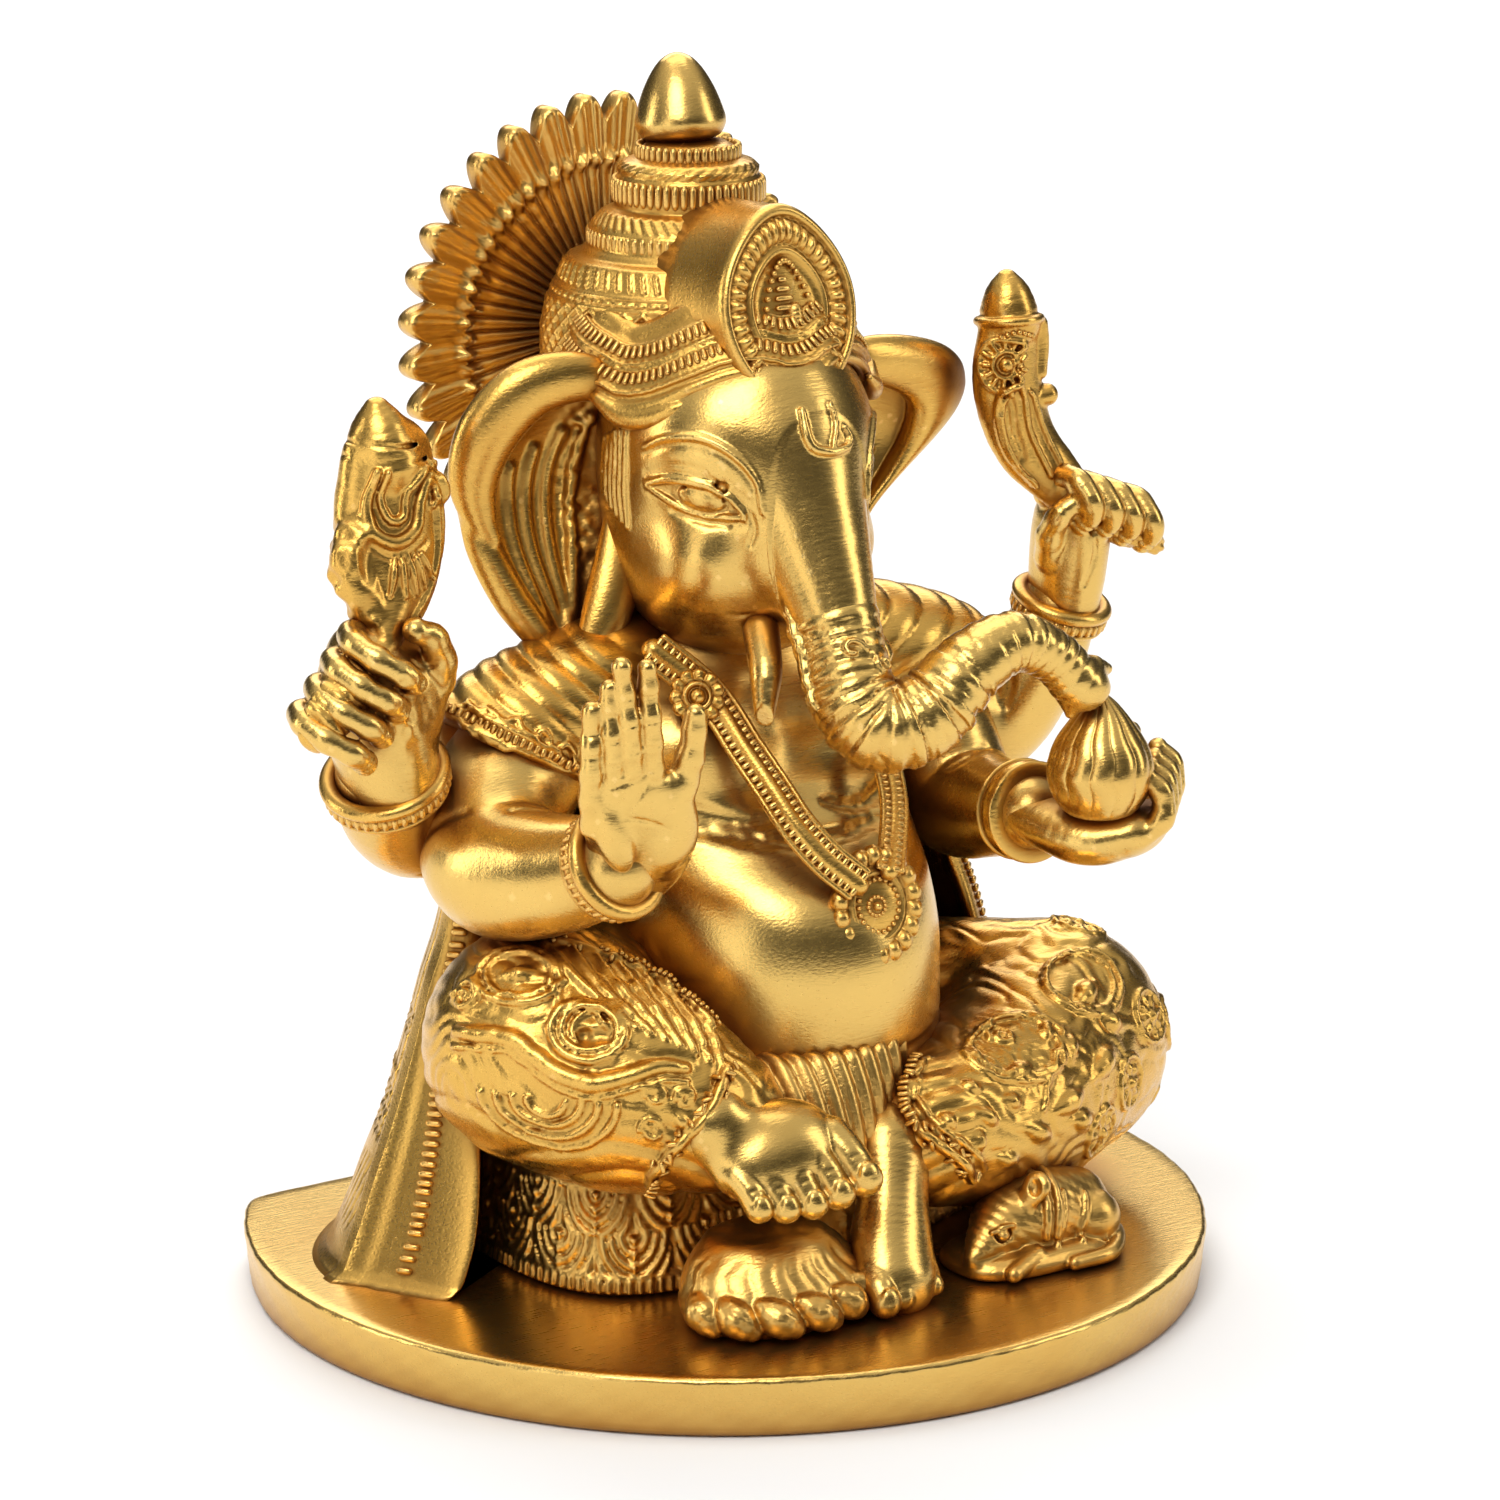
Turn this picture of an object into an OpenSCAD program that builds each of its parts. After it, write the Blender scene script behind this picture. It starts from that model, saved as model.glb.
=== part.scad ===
// Seated four-armed elephant-headed deity: a hollow brass statue brazed together
// from separate castings on a round-fronted base plate.
// +Z up, the figure faces -Y, origin on the table under the figure's lap.

/* [Overall] */
// Height of the statue from the table to the tip of the finial
statue_h = 204; // [160:1:260]

/* [Base] */
// Radius of the base plate's top edge
base_r = 81.5; // [80:0.5:85]
// Thickness of the base plate
base_t = 10; // [9:0.5:10]
// Draft of the base plate's side wall
base_draft = 1; // [0:0.5:4]
// Distance from the centre of the plate's arc to the flat back edge
base_back = 49; // [49:0.5:56]
// Wall left around and over the hollow castings
wall = 4; // [3:0.5:5]

/* [Halo] */
// Number of feather rays around the halo
ray_count = 32; // [24:2:40]
// Radius of the halo at the tips of the rays
halo_r = 39; // [36:0.5:41]
// Thickness of the halo disc
halo_t = 4; // [3:0.5:5]

/* [Crown] */
// Radius of the crown at the brow
crown_r = 24; // [23:0.5:25]

/* [Hands] */
// Radius of a finger at its root
finger_r = 2; // [1.7:0.1:2.3]
// Thickness of a bracelet's ring
bracelet_t = 1.8; // [1.4:0.1:2.2]

/* [Hidden] */
DRAWN_H = 204;           // height at which every size below is drawn
unit = statue_h / DRAWN_H;
brass = [0.82, 0.62, 0.22];
old_brass = [0.62, 0.42, 0.14];
bright_brass = [0.92, 0.75, 0.36];

LIMB_SIDES = 14;
BODY_SIDES = 24;

// Skeleton: each point carries the limb's radius there as a fourth number
shoulder_R = [-36, 4, 97, 11];
shoulder_L = [36, 4, 97, 10];
front_wrist_R = [-46, -33, 86, 7.6];
front_wrist_L = [38, -29, 81, 6.6];
rear_wrist_R = [-66.5, 1, 95, 8.6];
rear_wrist_L = [67, 1, 106, 6.8];
knee_R = [-46, -13, 51.5, 19.5];
knee_L = [54.5, -13, 34, 20.5];
crown_y = 14.5;          // axis of the crown
base_y = 4;              // centre of the base plate's arc

// ---------- geometry helpers ----------
function unit_of(v) = v / norm(v);
function xyz(p) = [p[0], p[1], p[2]];
function centre(r) = [for (v = r) 1 / len(r)] * r;

// A ring of n points round c, square to t, its first radius ra along side
function ring(c, t, side, ra, rb, n) =
    let (q = cross(t, side))
    [for (i = [0:n - 1]) c + side * ra * cos(360 * i / n) + q * rb * sin(360 * i / n)];

// A level ring at height z: centre (x, y), half widths rx and ry, squared off by power
function level(z, x, y, rx, ry, power = 2, n = BODY_SIDES) =
    [for (i = [0:n - 1]) let (a = 360 * i / n, c = cos(a), s = sin(a))
        [x + rx * sign(c) * pow(abs(c), 2 / power), y + ry * sign(s) * pow(abs(s), 2 / power), z]];

// The points of p joined by a smooth curve with k steps between neighbours
function curve(p, k) = let (m = len(p) - 1) concat([for (i = [0:m - 1]) for (j = [0:k - 1])
    let (t = j / k, a = p[max(i - 1, 0)], b = p[i], c = p[i + 1], d = p[min(i + 2, m)])
    b + (c - a) * t / 2 + (2 * a - 5 * b + 4 * c - d) * t * t / 2 + (3 * b - a - 3 * c + d) * t * t * t / 2],
    [p[m]]);

// One direction across the path carried along it without twisting
function carried(dirs, side, out = []) = let (i = len(out)) i == len(dirs) ? out :
    let (s = i == 0 ? side : out[i - 1]) carried(dirs, side, concat(out, [unit_of(s - dirs[i] * (dirs[i] * s))]));

// A closed solid through rings that have the same number of points
module skin(rings) {
    n = len(rings[0]);
    m = len(rings);
    points = concat([for (r = rings) each r], [centre(rings[0]), centre(rings[m - 1])]);
    sides = [for (k = [0:m - 2]) for (i = [0:n - 1])
        let (a = k * n + i, b = k * n + (i + 1) % n) each [[a, a + n, b], [b, a + n, b + n]]];
    foot = [for (i = [0:n - 1]) [i, (i + 1) % n, m * n]];
    top = [for (i = [0:n - 1]) [(m - 1) * n + (i + 1) % n, (m - 1) * n + i, m * n + 1]];
    polyhedron(points, concat(sides, foot, top), convexity = 8);
}

// A round-ended limb through points [x, y, z, radius], flattened across side by flat
module limb(points, n = LIMB_SIDES, flat = 1, side = [1, 0, 0], k = 3) {
    p = curve(points, k);
    m = len(p);
    dirs = [for (i = [0:m - 1]) unit_of(xyz(p[min(i + 1, m - 1)]) - xyz(p[max(i - 1, 0)]))];
    across = carried(dirs, side);
    caps = [[0.93, 0.37], [0.62, 0.78]];
    start = [for (c = caps) let (r = p[0][3])
        ring(xyz(p[0]) - dirs[0] * r * c[0] * flat, dirs[0], across[0], r * c[1], r * c[1] * flat, n)];
    middle = [for (i = [0:m - 1]) ring(xyz(p[i]), dirs[i], across[i], p[i][3], p[i][3] * flat, n)];
    end = [for (c = [caps[1], caps[0]]) let (r = p[m - 1][3], e = m - 1)
        ring(xyz(p[e]) + dirs[e] * r * c[0] * flat, dirs[e], across[e], r * c[1], r * c[1] * flat, n)];
    skin(concat(start, middle, end));
}
module finger(points) { limb(points, n = 8, k = 1); }

// ---------- base and seat ----------
module base_outline(inset) {
    intersection() {
        translate([0, base_y]) circle(r = base_r - inset, $fn = 120);
        translate([-base_r, -base_r]) square([2 * base_r, base_r + base_y + base_back - inset]);
    }
}
module base_plate() {
    color(brass) difference() {
        intersection() {
            translate([0, base_y, 0]) cylinder(r1 = base_r - base_draft, r2 = base_r, h = base_t, $fn = 120);
            translate([-base_r, -base_r, 0]) cube([2 * base_r, base_r + base_y + base_back, base_t]);
        }
        // hollow underside, crossed by two ribs that are level with the rim
        translate([0, 0, -1]) linear_extrude(base_t - wall + 1) difference() {
            base_outline(base_draft + wall);
            square([2 * base_r, wall], center = true);
            square([wall, 3 * base_r], center = true);
        }
    }
}

module seat_form() {
    skin([level(base_t, 0, 12, 44, 38, 3.2), level(20, 0, 12, 43, 37, 3.2),
        level(27, 0, 12, 41.5, 35.5, 3), level(30, 0, 12, 39, 33, 2.8)]);
}
module seat() {
    color(old_brass) difference() {
        seat_form();
        skin([level(base_t - 1, 0, 12, 44 - wall, 38 - wall, 3),
            level(30 - wall, 0, 12, 41 - wall, 35 - wall, 2.6)]);
        right_leg_form();
        left_leg_form();
    }
}

// Scale-patterned cloth hanging over the front right corner of the seat
module seat_cloth() {
    color(brass) difference() {
        skin([level(base_t, -20, 4, 27.5, 32, 3.2), level(18, -20, 4, 26.5, 31, 3.2),
            level(29, -20, 5, 25, 28, 3)]);
        seat_form();
        right_leg_form();
        foot_rest_form();
        translate([-24, 12, 0]) cube([60, 60, 60]);
    }
}

// Mantle that falls from the shoulders, its hem flaring out over the base
module cape_form(inset = 0) {
    edge_y = 8;
    front_depth = 2.5;
    // height, half width, depth behind the front edge
    rows = [[base_t, 65, 44], [11.5, 62.5, 42.5], [15, 60.8, 40.5], [23, 58.8, 38], [38, 55, 33],
        [50, 52.5, 30.5], [66, 49.5, 28], [84, 46, 25], [96, 40, 22], [105, 28, 17]];
    skin([for (r = rows) [for (i = [0:BODY_SIDES - 1]) let (a = 360 * i / BODY_SIDES)
        [(r[1] - inset) * cos(a), edge_y + (sin(a) > 0 ? r[2] - inset : front_depth) * sin(a), r[0]]]]);
}
module cape() {
    color(brass) difference() {
        cape_form();
        skin([level(base_t - 1, 0, 14, 44, 34, 3), level(30, 0, 13, 42, 32, 3),
            level(60, 0, 10, 38, 24, 2.6), level(84, 0, 8, 34, 20, 2.4), level(98, 0, 8, 26, 13, 2)]);
        torso_form();
    }
}

// ---------- body ----------
module torso_form() {
    skin([level(29, 0, 6, 31, 26), level(36, 0, 2, 33, 31), level(44, 0, -3, 31, 33),
        level(54, 0, -6, 28.5, 33), level(64, 0, -7, 27.5, 32.5), level(73, 0, -6, 27, 30),
        level(81, 0, -2, 28, 25), level(89, 0, 2, 31, 20.5), level(97, 0, 4, 35, 17),
        level(103, 0, 4, 31, 15), level(108, 0, 3, 20, 13), level(113, 0, 3, 15, 12)]);
}
module torso() {
    color(bright_brass) difference() {
        torso_form();
        seat_form();
        skin([level(28, 0, 6, 31 - wall, 26 - wall), level(64, 0, -5, 26 - wall, 28 - wall),
            level(90, 0, 2, 24 - wall, 16 - wall), level(98, 0, 4, 14, 8)]);
    }
}

// Folded shawl over the back of the neck and both shoulders
module shawl() {
    color(brass) difference() {
        union() {
            for (m = [0, 1]) mirror([m, 0, 0])
                limb([[-12, 8, 107, 10], [-26, 4, 104, 11.5], [-40, 4, 97.5, 13.8], [-46, 5, 92, 13.6]],
                    flat = 0.95, side = [0, 1, 0]);
            limb([[-16, 12, 106, 8.5], [0, 17, 108, 9.5], [16, 12, 106, 8.5]], side = [0, 1, 0]);
        }
        torso_form();
    }
}

module right_leg_form() {
    limb([[-12, 10, 46, 14], [-31, 1, 50, 18], knee_R], k = 2);
    limb([knee_R, [-39, -25, 47, 17.5], [-29, -35, 42, 12]], side = [0, 0, 1], k = 2);
}
module right_leg() {
    color(brass) difference() {
        right_leg_form();
        torso_form();
        limb([[-12, 10, 46, 14 - wall], [-31, 1, 50, 18 - wall], knee_R - [0, 0, 0, wall]], k = 2);
    }
}

module left_leg_form() {
    limb([[16, 12, 38, 16], [36, 3, 36, 18.5], knee_L], k = 2);
    limb([knee_L, [33, -28, 32, 17.5], [12, -38, 32.5, 12]], side = [0, 0, 1], k = 2);
}
module left_leg() {
    color(brass) difference() {
        left_leg_form();
        torso_form();
        limb([[16, 12, 38, 16 - wall], [36, 3, 36, 18.5 - wall], knee_L - [0, 0, 0, wall]], k = 2);
        translate([0, 0, -1]) linear_extrude(base_t + 1) base_outline(1);
    }
}

// Pleated sash that hangs between the legs
module waist_sash() {
    color(old_brass) difference() {
        skin([level(27, -8, -36, 8, 5, 3), level(34, -9, -37, 11, 7, 3),
            level(43, -7, -34, 15, 8, 3), level(49, -4, -31, 15, 8, 3)]);
        torso_form();
        right_leg_form();
        left_leg_form();
        right_foot_form();
        left_foot_form();
    }
}

module right_foot_form() {
    limb([[-28, -38, 44, 8], [-25, -44, 40, 9.5], [-21.5, -48, 34.5, 10]], flat = 0.62, side = unit_of([-1, 1, -1]));
    for (i = [0:4])
        finger([[-24, -48, 28.5, 2.4] + i * [2.1, -0.9, 2.2, 0.05], [-21, -53, 25, 2.1] + i * [2.2, -0.4, 2.6, 0.15]]);
}
module right_foot() {
    color(bright_brass) difference() {
        right_foot_form();
        right_leg_form();
    }
}

module left_foot_form() {
    limb([[3, -41, 33, 7.5], [0, -45, 27, 6.2], [-2.5, -48, 20, 7.2], [-4, -51, 15, 7.4]], flat = 0.78);
    for (i = [0:3])
        finger([[-9, -52, 16, 2.9] + i * [3.5, 0.6, 0.4, -0.3], [-9.5, -56, 12.8, 2.5] + i * [3.7, 0.8, 0, -0.25]]);
}
module left_foot() {
    color(bright_brass) difference() {
        left_foot_form();
        left_leg_form();
    }
}

// Petal-edged pad under the right foot
module foot_rest_form() {
    skin([level(base_t, -23, -44, 15, 11), level(15, -23, -44, 16, 12),
        level(20, -23, -43, 14, 10), level(24, -23, -42, 10, 8)]);
    for (i = [0:4])
        finger([[-34, -46, 13.5, 3.6] + i * [5.5, -0.2, 0, 0], [-32, -55, 12.7, 2.6] + i * [5.5, -1 + 0.35 * i, 0, 0]]);
}
module foot_rest() {
    color(old_brass) difference() {
        foot_rest_form();
        right_foot_form();
        left_foot_form();
        right_leg_form();
        seat_form();
    }
}

module mouse() {
    color(old_brass) difference() {
        union() {
            limb([[36, -44, 17, 6.5], [28, -45, 17.5, 7.5], [21.5, -46, 17, 5.5]]);
            limb([[22, -46, 18, 5], [17, -48, 16, 3.7], [13, -49.5, 13.5, 1.7]], n = 12);
            limb([[22.5, -46, 23, 2.5], [24, -44, 25.2, 2]], n = 8, flat = 0.5, k = 1);
            finger([[22, -52, 12.2, 2.1], [16, -54, 12, 1.8]]);
            skin([level(base_t, 26, -46, 14.5, 9, 3), level(14, 26, -46, 13.5, 8, 3)]);
        }
        left_leg_form();
    }
}

// ---------- head ----------
module head_form() {
    skin([level(109, 0, -3, 8, 7), level(113, 0, -3, 15, 13), level(119, 0, -2, 19.5, 18),
        level(126, 0, -1, 21.5, 20.5), level(134, 0, 0, 22.5, 22), level(142, 0, 1, 22, 22.5),
        level(150, 0, 3, 22, 22), level(157, 0, 8, 20, 19), level(160, 0, 11, 14, 13)]);
}
module head() {
    color(bright_brass) difference() {
        head_form();
        torso_form();
        skin([level(120, 0, 0, 19 - wall, 17 - wall), level(134, 0, 1, 22.5 - wall, 21 - wall),
            level(150, 0, 4, 22 - wall, 21 - wall), level(158, 0, 9, 18 - wall, 17 - wall), level(162, 0, 12, 8, 7)]);
    }
}

module trunk_form() {
    limb([[0, -14, 143, 11], [0, -19, 133, 9.6], [-0.5, -26.5, 122, 7.2], [-1, -31, 114, 6.7],
        [-1.5, -35.5, 106.5, 7], [1.5, -39, 102.5, 7.1], [8.5, -41.5, 104.5, 6.8], [15.5, -42.5, 111, 5.8],
        [23.5, -43.5, 114.5, 5], [31, -44, 111.5, 4.3], [35.5, -44.5, 107, 4]], n = 16, k = 2);
}
module trunk() {
    color(bright_brass) difference() {
        trunk_form();
        head_form();
    }
}

module tusk(length) {
    root = [-9, -23.5, 116];
    color(bright_brass) difference() {
        limb([concat(root + [2.5, 5, 5], [3]), concat(root, [2.6]),
            concat(root + [-2.4, -3, -10] * length, [1.4])], n = 10);
        head_form();
        trunk_form();
    }
}
module right_tusk() { tusk(1); }
module left_tusk() { mirror([1, 0, 0]) tusk(0.5); }

// Broad ear leaning outward, with a rolled upper rim; spread widens its outer half
module ear_form(spread = 0) {
    // height, inner x, outer x, y at the middle, share of the spread
    rows = [[103, -28, -30.5, 4, 0], [106, -27, -32, 4.5, 0], [112, -25, -36, 5.5, 0.1], [119, -22, -41, 7, 0.3],
        [127, -20, -45, 9, 0.6], [135, -18, -47, 11, 1], [143, -17, -45.5, 11, 1], [150, -18, -40, 9, 0.7],
        [155, -22, -33, 6, 0.3]];
    skin([for (r = rows) let (out = r[2] - spread * r[4])
        level(r[0], (r[1] + out) / 2, r[3], (r[1] - out) / 2, 3, 2, 20)]);
    limb([[-20, 3, 150, 3], [-29 - 0.3 * spread, 5, 155, 3.5], [-40 - 0.7 * spread, 10, 150.5, 3.5],
        [-46.5 - spread, 14, 141, 3], [-45 - 0.8 * spread, 13, 131, 2]], n = 10);
}
module right_ear() {
    color(brass) difference() {
        ear_form();
        head_form();
    }
}
module left_ear() {
    color(brass) difference() {
        translate([22, 2, 148]) rotate([0, 12, 0]) translate([-22, 0, -150]) mirror([1, 0, 0]) ear_form(10);
        head_form();
    }
}

// ---------- crown ----------
module crown_form() {
    brow_z = 151;
    // height above the brow and share of the brow's radius
    tiers = [[0, 0.97], [2.5, 1], [9, 1], [14, 0.93], [19, 0.8], [20, 0.83], [22.5, 0.8], [24, 0.64],
        [27, 0.62], [28, 0.66], [31, 0.6], [32, 0.44], [34, 0.42], [35, 0.45], [38, 0.4], [39, 0.26]];
    translate([0, crown_y, brow_z]) rotate_extrude($fn = 72)
        polygon(concat([[0, 0]], [for (t = tiers) [t[1] * crown_r, t[0]]], [[0, 39]]));
}
module brow_band() {
    for (m = [0, 1]) mirror([m, 0, 0])
        limb([[-21.5, 5, 150.5, 3.4], [-15, -10, 152, 3.3], [0, -17, 156.5, 3.2]], n = 10);
}
module crown() {
    color(brass) difference() {
        union() {
            crown_form();
            brow_band();
        }
        head_form();
        translate([0, crown_y, 150]) rotate_extrude($fn = 72)
            polygon([[0, 0], [crown_r - wall, 0], [crown_r - wall, 10], [crown_r * 0.8 - wall, 20],
                [crown_r * 0.6 - wall, 28], [0, 28]]);
        translate([0, crown_y + 2, 184]) cylinder(d = 5, h = 10, $fn = 32);
    }
}

module crown_plaque() {
    rx = 10;
    rz = 14;
    color(brass) difference() {
        translate([0, -9, 169.5]) rotate([90 - 12, 0, 0])
            skin([for (r = [[-9, 0.88], [0, 0.97], [3.5, 1], [5.5, 0.92], [7, 0.7]])
                level(r[0], 0, 0, rx * r[1], rz * r[1])]);
        crown_form();
        brow_band();
        head_form();
    }
}

// Smooth leaning knob with a stub that plugs into the crown
module finial() {
    color(bright_brass) {
        translate([0, crown_y + 2, 190]) rotate([-6, 0, 0]) rotate_extrude($fn = 48)
            polygon([[0, 0], [5, 0], [6.8, 1.2], [7.5, 3], [7.2, 4.8], [6, 8.2], [4.4, 11.1],
                [2.8, 13.1], [1.2, 14.1], [0, 14.3]]);
        translate([0, crown_y + 2, 184]) cylinder(d = 5, h = 8, $fn = 32);
    }
}

module halo() {
    halo_y = 38;
    halo_x = -1.5;
    halo_z = 156.5;
    rim_r = halo_r - 4.5;
    color(old_brass) translate([halo_x, halo_y + halo_t / 2, halo_z]) rotate([90, 0, 0])
        linear_extrude(halo_t) union() {
            circle(r = rim_r, $fn = 96);
            for (i = [0:ray_count - 1]) rotate(360 * (i + 0.5) / ray_count)
                polygon([[rim_r - 4, -3.4], [halo_r - 2, -2], [halo_r, 0], [halo_r - 2, 2], [rim_r - 4, 3.4]]);
        }
}

// ---------- arms and hands ----------
module right_front_arm_form() {
    limb([shoulder_R, [-47, 0, 88, 12], [-51.5, -8, 81.5, 11.8], [-50, -20, 82, 10], front_wrist_R], k = 2);
}
module left_front_arm_form() {
    limb([shoulder_L, [40, 1, 88, 10.5], [41, -5, 78.5, 10.3], [40, -16, 78.5, 8.6], front_wrist_L], k = 2);
}
module right_rear_arm_form() {
    limb([shoulder_R + [1.3, 6.4, -0.7, -1.2], [-50, 11, 86, 11], [-58, 11, 82, 11.5], [-64, 6, 87, 10.5], rear_wrist_R], k = 2);
}
module left_rear_arm_form() {
    limb([shoulder_L + [-1.1, 6.3, -0.6, -0.4], [49, 11, 88, 10.5], [58, 10, 86, 10.3], [64, 6, 94, 8.8], rear_wrist_L], k = 2);
}
module right_front_arm() {
    color(bright_brass) difference() {
        right_front_arm_form();
        torso_form();
    }
}
module left_front_arm() {
    color(bright_brass) difference() {
        left_front_arm_form();
        torso_form();
    }
}
module right_rear_arm() {
    color(bright_brass) difference() {
        right_rear_arm_form();
        torso_form();
    }
}
module left_rear_arm() {
    color(bright_brass) difference() {
        left_rear_arm_form();
        torso_form();
    }
}

module bracelet(at, along, r) {
    color(brass) translate(xyz(at))
        rotate([0, acos(along[2] / norm(along)), atan2(along[1], along[0])])
            rotate_extrude($fn = 48) translate([r, 0]) {
                circle(r = bracelet_t, $fn = 24);
                translate([-bracelet_t / 2, -bracelet_t]) square([bracelet_t, 2 * bracelet_t]);
            }
}
module right_front_bracelet() { bracelet(front_wrist_R, [1.5, -8, 4], 8); }
module left_front_bracelet() { bracelet(front_wrist_L, [-1, -10, 1], 7); }
module right_rear_bracelet() { bracelet(rear_wrist_R, [-4, -3, 9], 9.2); }
module left_rear_bracelet() { bracelet(rear_wrist_L, [1, -3, 9], 7.4); }

// Palm with four fingers and a thumb
module hand(palm, fingers, thumb, flat = 0.55, side = [1, 0, 0]) {
    limb(palm, flat = flat, side = unit_of(side), k = 2);
    for (f = fingers) finger([for (i = [0:len(f) - 1]) concat(f[i], [finger_r - 0.15 * i])]);
    finger([for (i = [0:len(thumb) - 1]) concat(thumb[i], [finger_r * 1.25 - 0.2 * i])]);
}

// Open palm raised in blessing
module right_front_hand() {
    root = [-52, -42.5, 104];
    color(bright_brass) difference() {
        hand([[-46, -36, 87, 7], [-46.5, -40, 95, 8.2], [-47, -41.5, 102, 8.4]],
            [for (i = [0:3]) let (r = root + i * [3.4, 0.4, 0.5], h = [11, 16, 17.5, 14][i])
                [r, r + [-0.7, 0.3, h * 0.5], r + [-1.2, 1.2, h]]],
            [[-42, -41, 92], [-38.5, -43.5, 99], [-38, -44.5, 105], [-38.5, -45, 111]], side = [1, -0.5, 0]);
        right_front_arm_form();
    }
}

// Cupped hand that holds the sweet
module left_front_hand() {
    color(bright_brass) difference() {
        hand([[38.5, -32, 80.5, 6.4], [41, -38, 80, 7.5], [46, -43, 80.5, 8.2]],
            [for (i = [0:3]) let (r = [45.5, -49, 80] + i * [2.7, 2.6, 0.7])
                [r, r + [3, -2.4, 3], r + [3.2, -2, 7], r + [1.6, -1, 9.6]]],
            [[48, -39, 82], [52.5, -37.5, 88], [52.5, -38.5, 94]], flat = 0.72, side = [1, 0.3, 0]);
        left_front_arm_form();
        sweet_form();
    }
}

// Fist closed round the shaft of what it holds
module right_rear_hand() {
    knuckle = [-75, -7.5, 120];
    color(bright_brass) difference() {
        hand([[-66.5, 0, 97, 9], [-70.5, -1, 105, 10.3], [-75, -3, 113.5, 9.8]],
            [for (i = [0:3]) let (r = knuckle + i * [-3.2, 0.3, -4.2])
                [r + [2, 4, 1], r, r + [0, -5, -1.5], r + [4, -6, -4], r + [6, -3, -5]]],
            [[-63, -4, 111], [-62.5, -8, 117], [-66, -9.5, 121]], flat = 0.85, side = [0, 1, 0]);
        right_rear_arm_form();
        goad_form();
    }
}
module left_rear_hand() {
    knuckle = [63, -5.5, 129.5];
    color(bright_brass) difference() {
        hand([[67.4, 0.2, 108.5, 6.9], [68, -1, 115, 8], [69, -2, 122, 7.8]],
            [for (i = [0:3]) let (r = knuckle + i * [4, -0.4, -1.6])
                [r + [0, 4, -2], r, r + [1, -4, -1], r + [1.6, -4.4, -4.5], r + [1.2, -2, -6]]],
            [[62, -3, 119], [60.5, -6, 123], [62, -8, 126]], flat = 0.8, side = [0, 1, 0]);
        noose_form();
    }
}

// Ridged round sweet with a pointed top
module sweet_form() {
    translate([41.5, -44, 83]) rotate_extrude($fn = 48)
        polygon([[0, 0], [5, 0.5], [8, 4], [8.8, 7.5], [8.2, 10.5], [6, 14.5], [3.4, 18], [1.5, 20], [0, 20.6]]);
}
module sweet() { color(bright_brass) sweet_form(); }

// ---------- what the rear hands hold ----------
// Goad: tapered shaft end, curled hook body and a pointed cap
module goad_form() {
    limb([[-81, -10, 104, 2], [-77, -9, 110, 3.2], [-71, -5, 119, 3.4], [-67, -2, 125, 4]], n = 12, k = 2);
    limb([[-67, -2, 124, 5.5], [-66, 0, 131, 8.2], [-65, 2, 138, 9.2], [-65, 2, 146, 8]], flat = 0.6, k = 2);
    limb([[-65, 2, 146, 6.5], [-66, 2, 151, 4.2], [-66.5, 2, 155, 1.6]], n = 16, k = 2);
    limb([[-71, -3, 125, 3.6], [-73, -2, 131, 3.8], [-71, -1, 136, 2.4]], n = 10, k = 2);
}
module goad() { color(brass) goad_form(); }

// Noose on a short staff with a wheel boss and a pointed cap
module noose_form() {
    limb([[79, -8, 118, 1.8], [75, -6.5, 122, 3.2], [65.5, -3, 127, 4]], n = 12, side = [0, 1, 0], k = 2);
    limb([[65, -2, 128, 4.6], [59, 1, 136, 6], [56, 2, 146, 6.4], [56.5, 2, 155, 6]], flat = 0.6, k = 2);
    limb([[56.5, 2, 155, 5.6], [56, 2, 160, 3.8], [55.5, 2, 164, 1.5]], n = 16, k = 2);
    finger([[61, 0, 137, 2.6], [63.5, 0, 140, 2.2], [64, 0, 143, 1.4]]);
}
module noose() { color(brass) noose_form(); }

// ---------- ornaments ----------
// Right and left strands meet at the pendant
module necklace() {
    color(brass) difference() {
        union() {
            limb([[-22, -9, 112, 2.6], [-15, -14.5, 105, 3], [-11, -20, 96, 3], [-6, -28, 87, 3], [2, -37, 78, 3.2]],
                n = 8, flat = 0.8, side = unit_of([1, 0, 0.6]), k = 2);
            limb([[16, -12, 106, 2.2], [14, -19, 97, 2.2], [11, -28, 87, 2.2], [4, -37, 78, 2.6]],
                n = 8, flat = 0.8, k = 2);
        }
        torso_form();
        head_form();
        right_front_arm_form();
    }
}
module rosette() {
    color(brass) difference() {
        translate([-15, -14.5, 104.5]) rotate([68, 0, -12]) rotate_extrude($fn = 40)
            polygon([[0, 0], [4.6, 0], [4.8, 1.5], [4.2, 2.4], [2.6, 2.2], [1.8, 3], [0, 3.2]]);
        torso_form();
    }
}
module pendant() {
    color(brass) difference() {
        translate([2, -35.5, 72]) rotate([90, 0, 4])
            skin([level(-2, 0, 0, 6, 8), level(2.5, 0, 0, 6.6, 8.6), level(4.4, 0, 0, 5.2, 7)]);
        torso_form();
    }
}

scale(unit) {
    base_plate();
    seat();
    seat_cloth();
    cape();
    torso();
    shawl();
    right_leg();
    left_leg();
    waist_sash();
    right_foot();
    left_foot();
    foot_rest();
    mouse();
    head();
    trunk();
    right_tusk();
    left_tusk();
    right_ear();
    left_ear();
    crown();
    crown_plaque();
    finial();
    halo();
    right_front_arm();
    right_front_hand();
    right_front_bracelet();
    right_rear_arm();
    right_rear_hand();
    right_rear_bracelet();
    goad();
    left_front_arm();
    left_front_hand();
    left_front_bracelet();
    sweet();
    left_rear_arm();
    left_rear_hand();
    left_rear_bracelet();
    noose();
    necklace();
    rosette();
    pendant();
}
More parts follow.
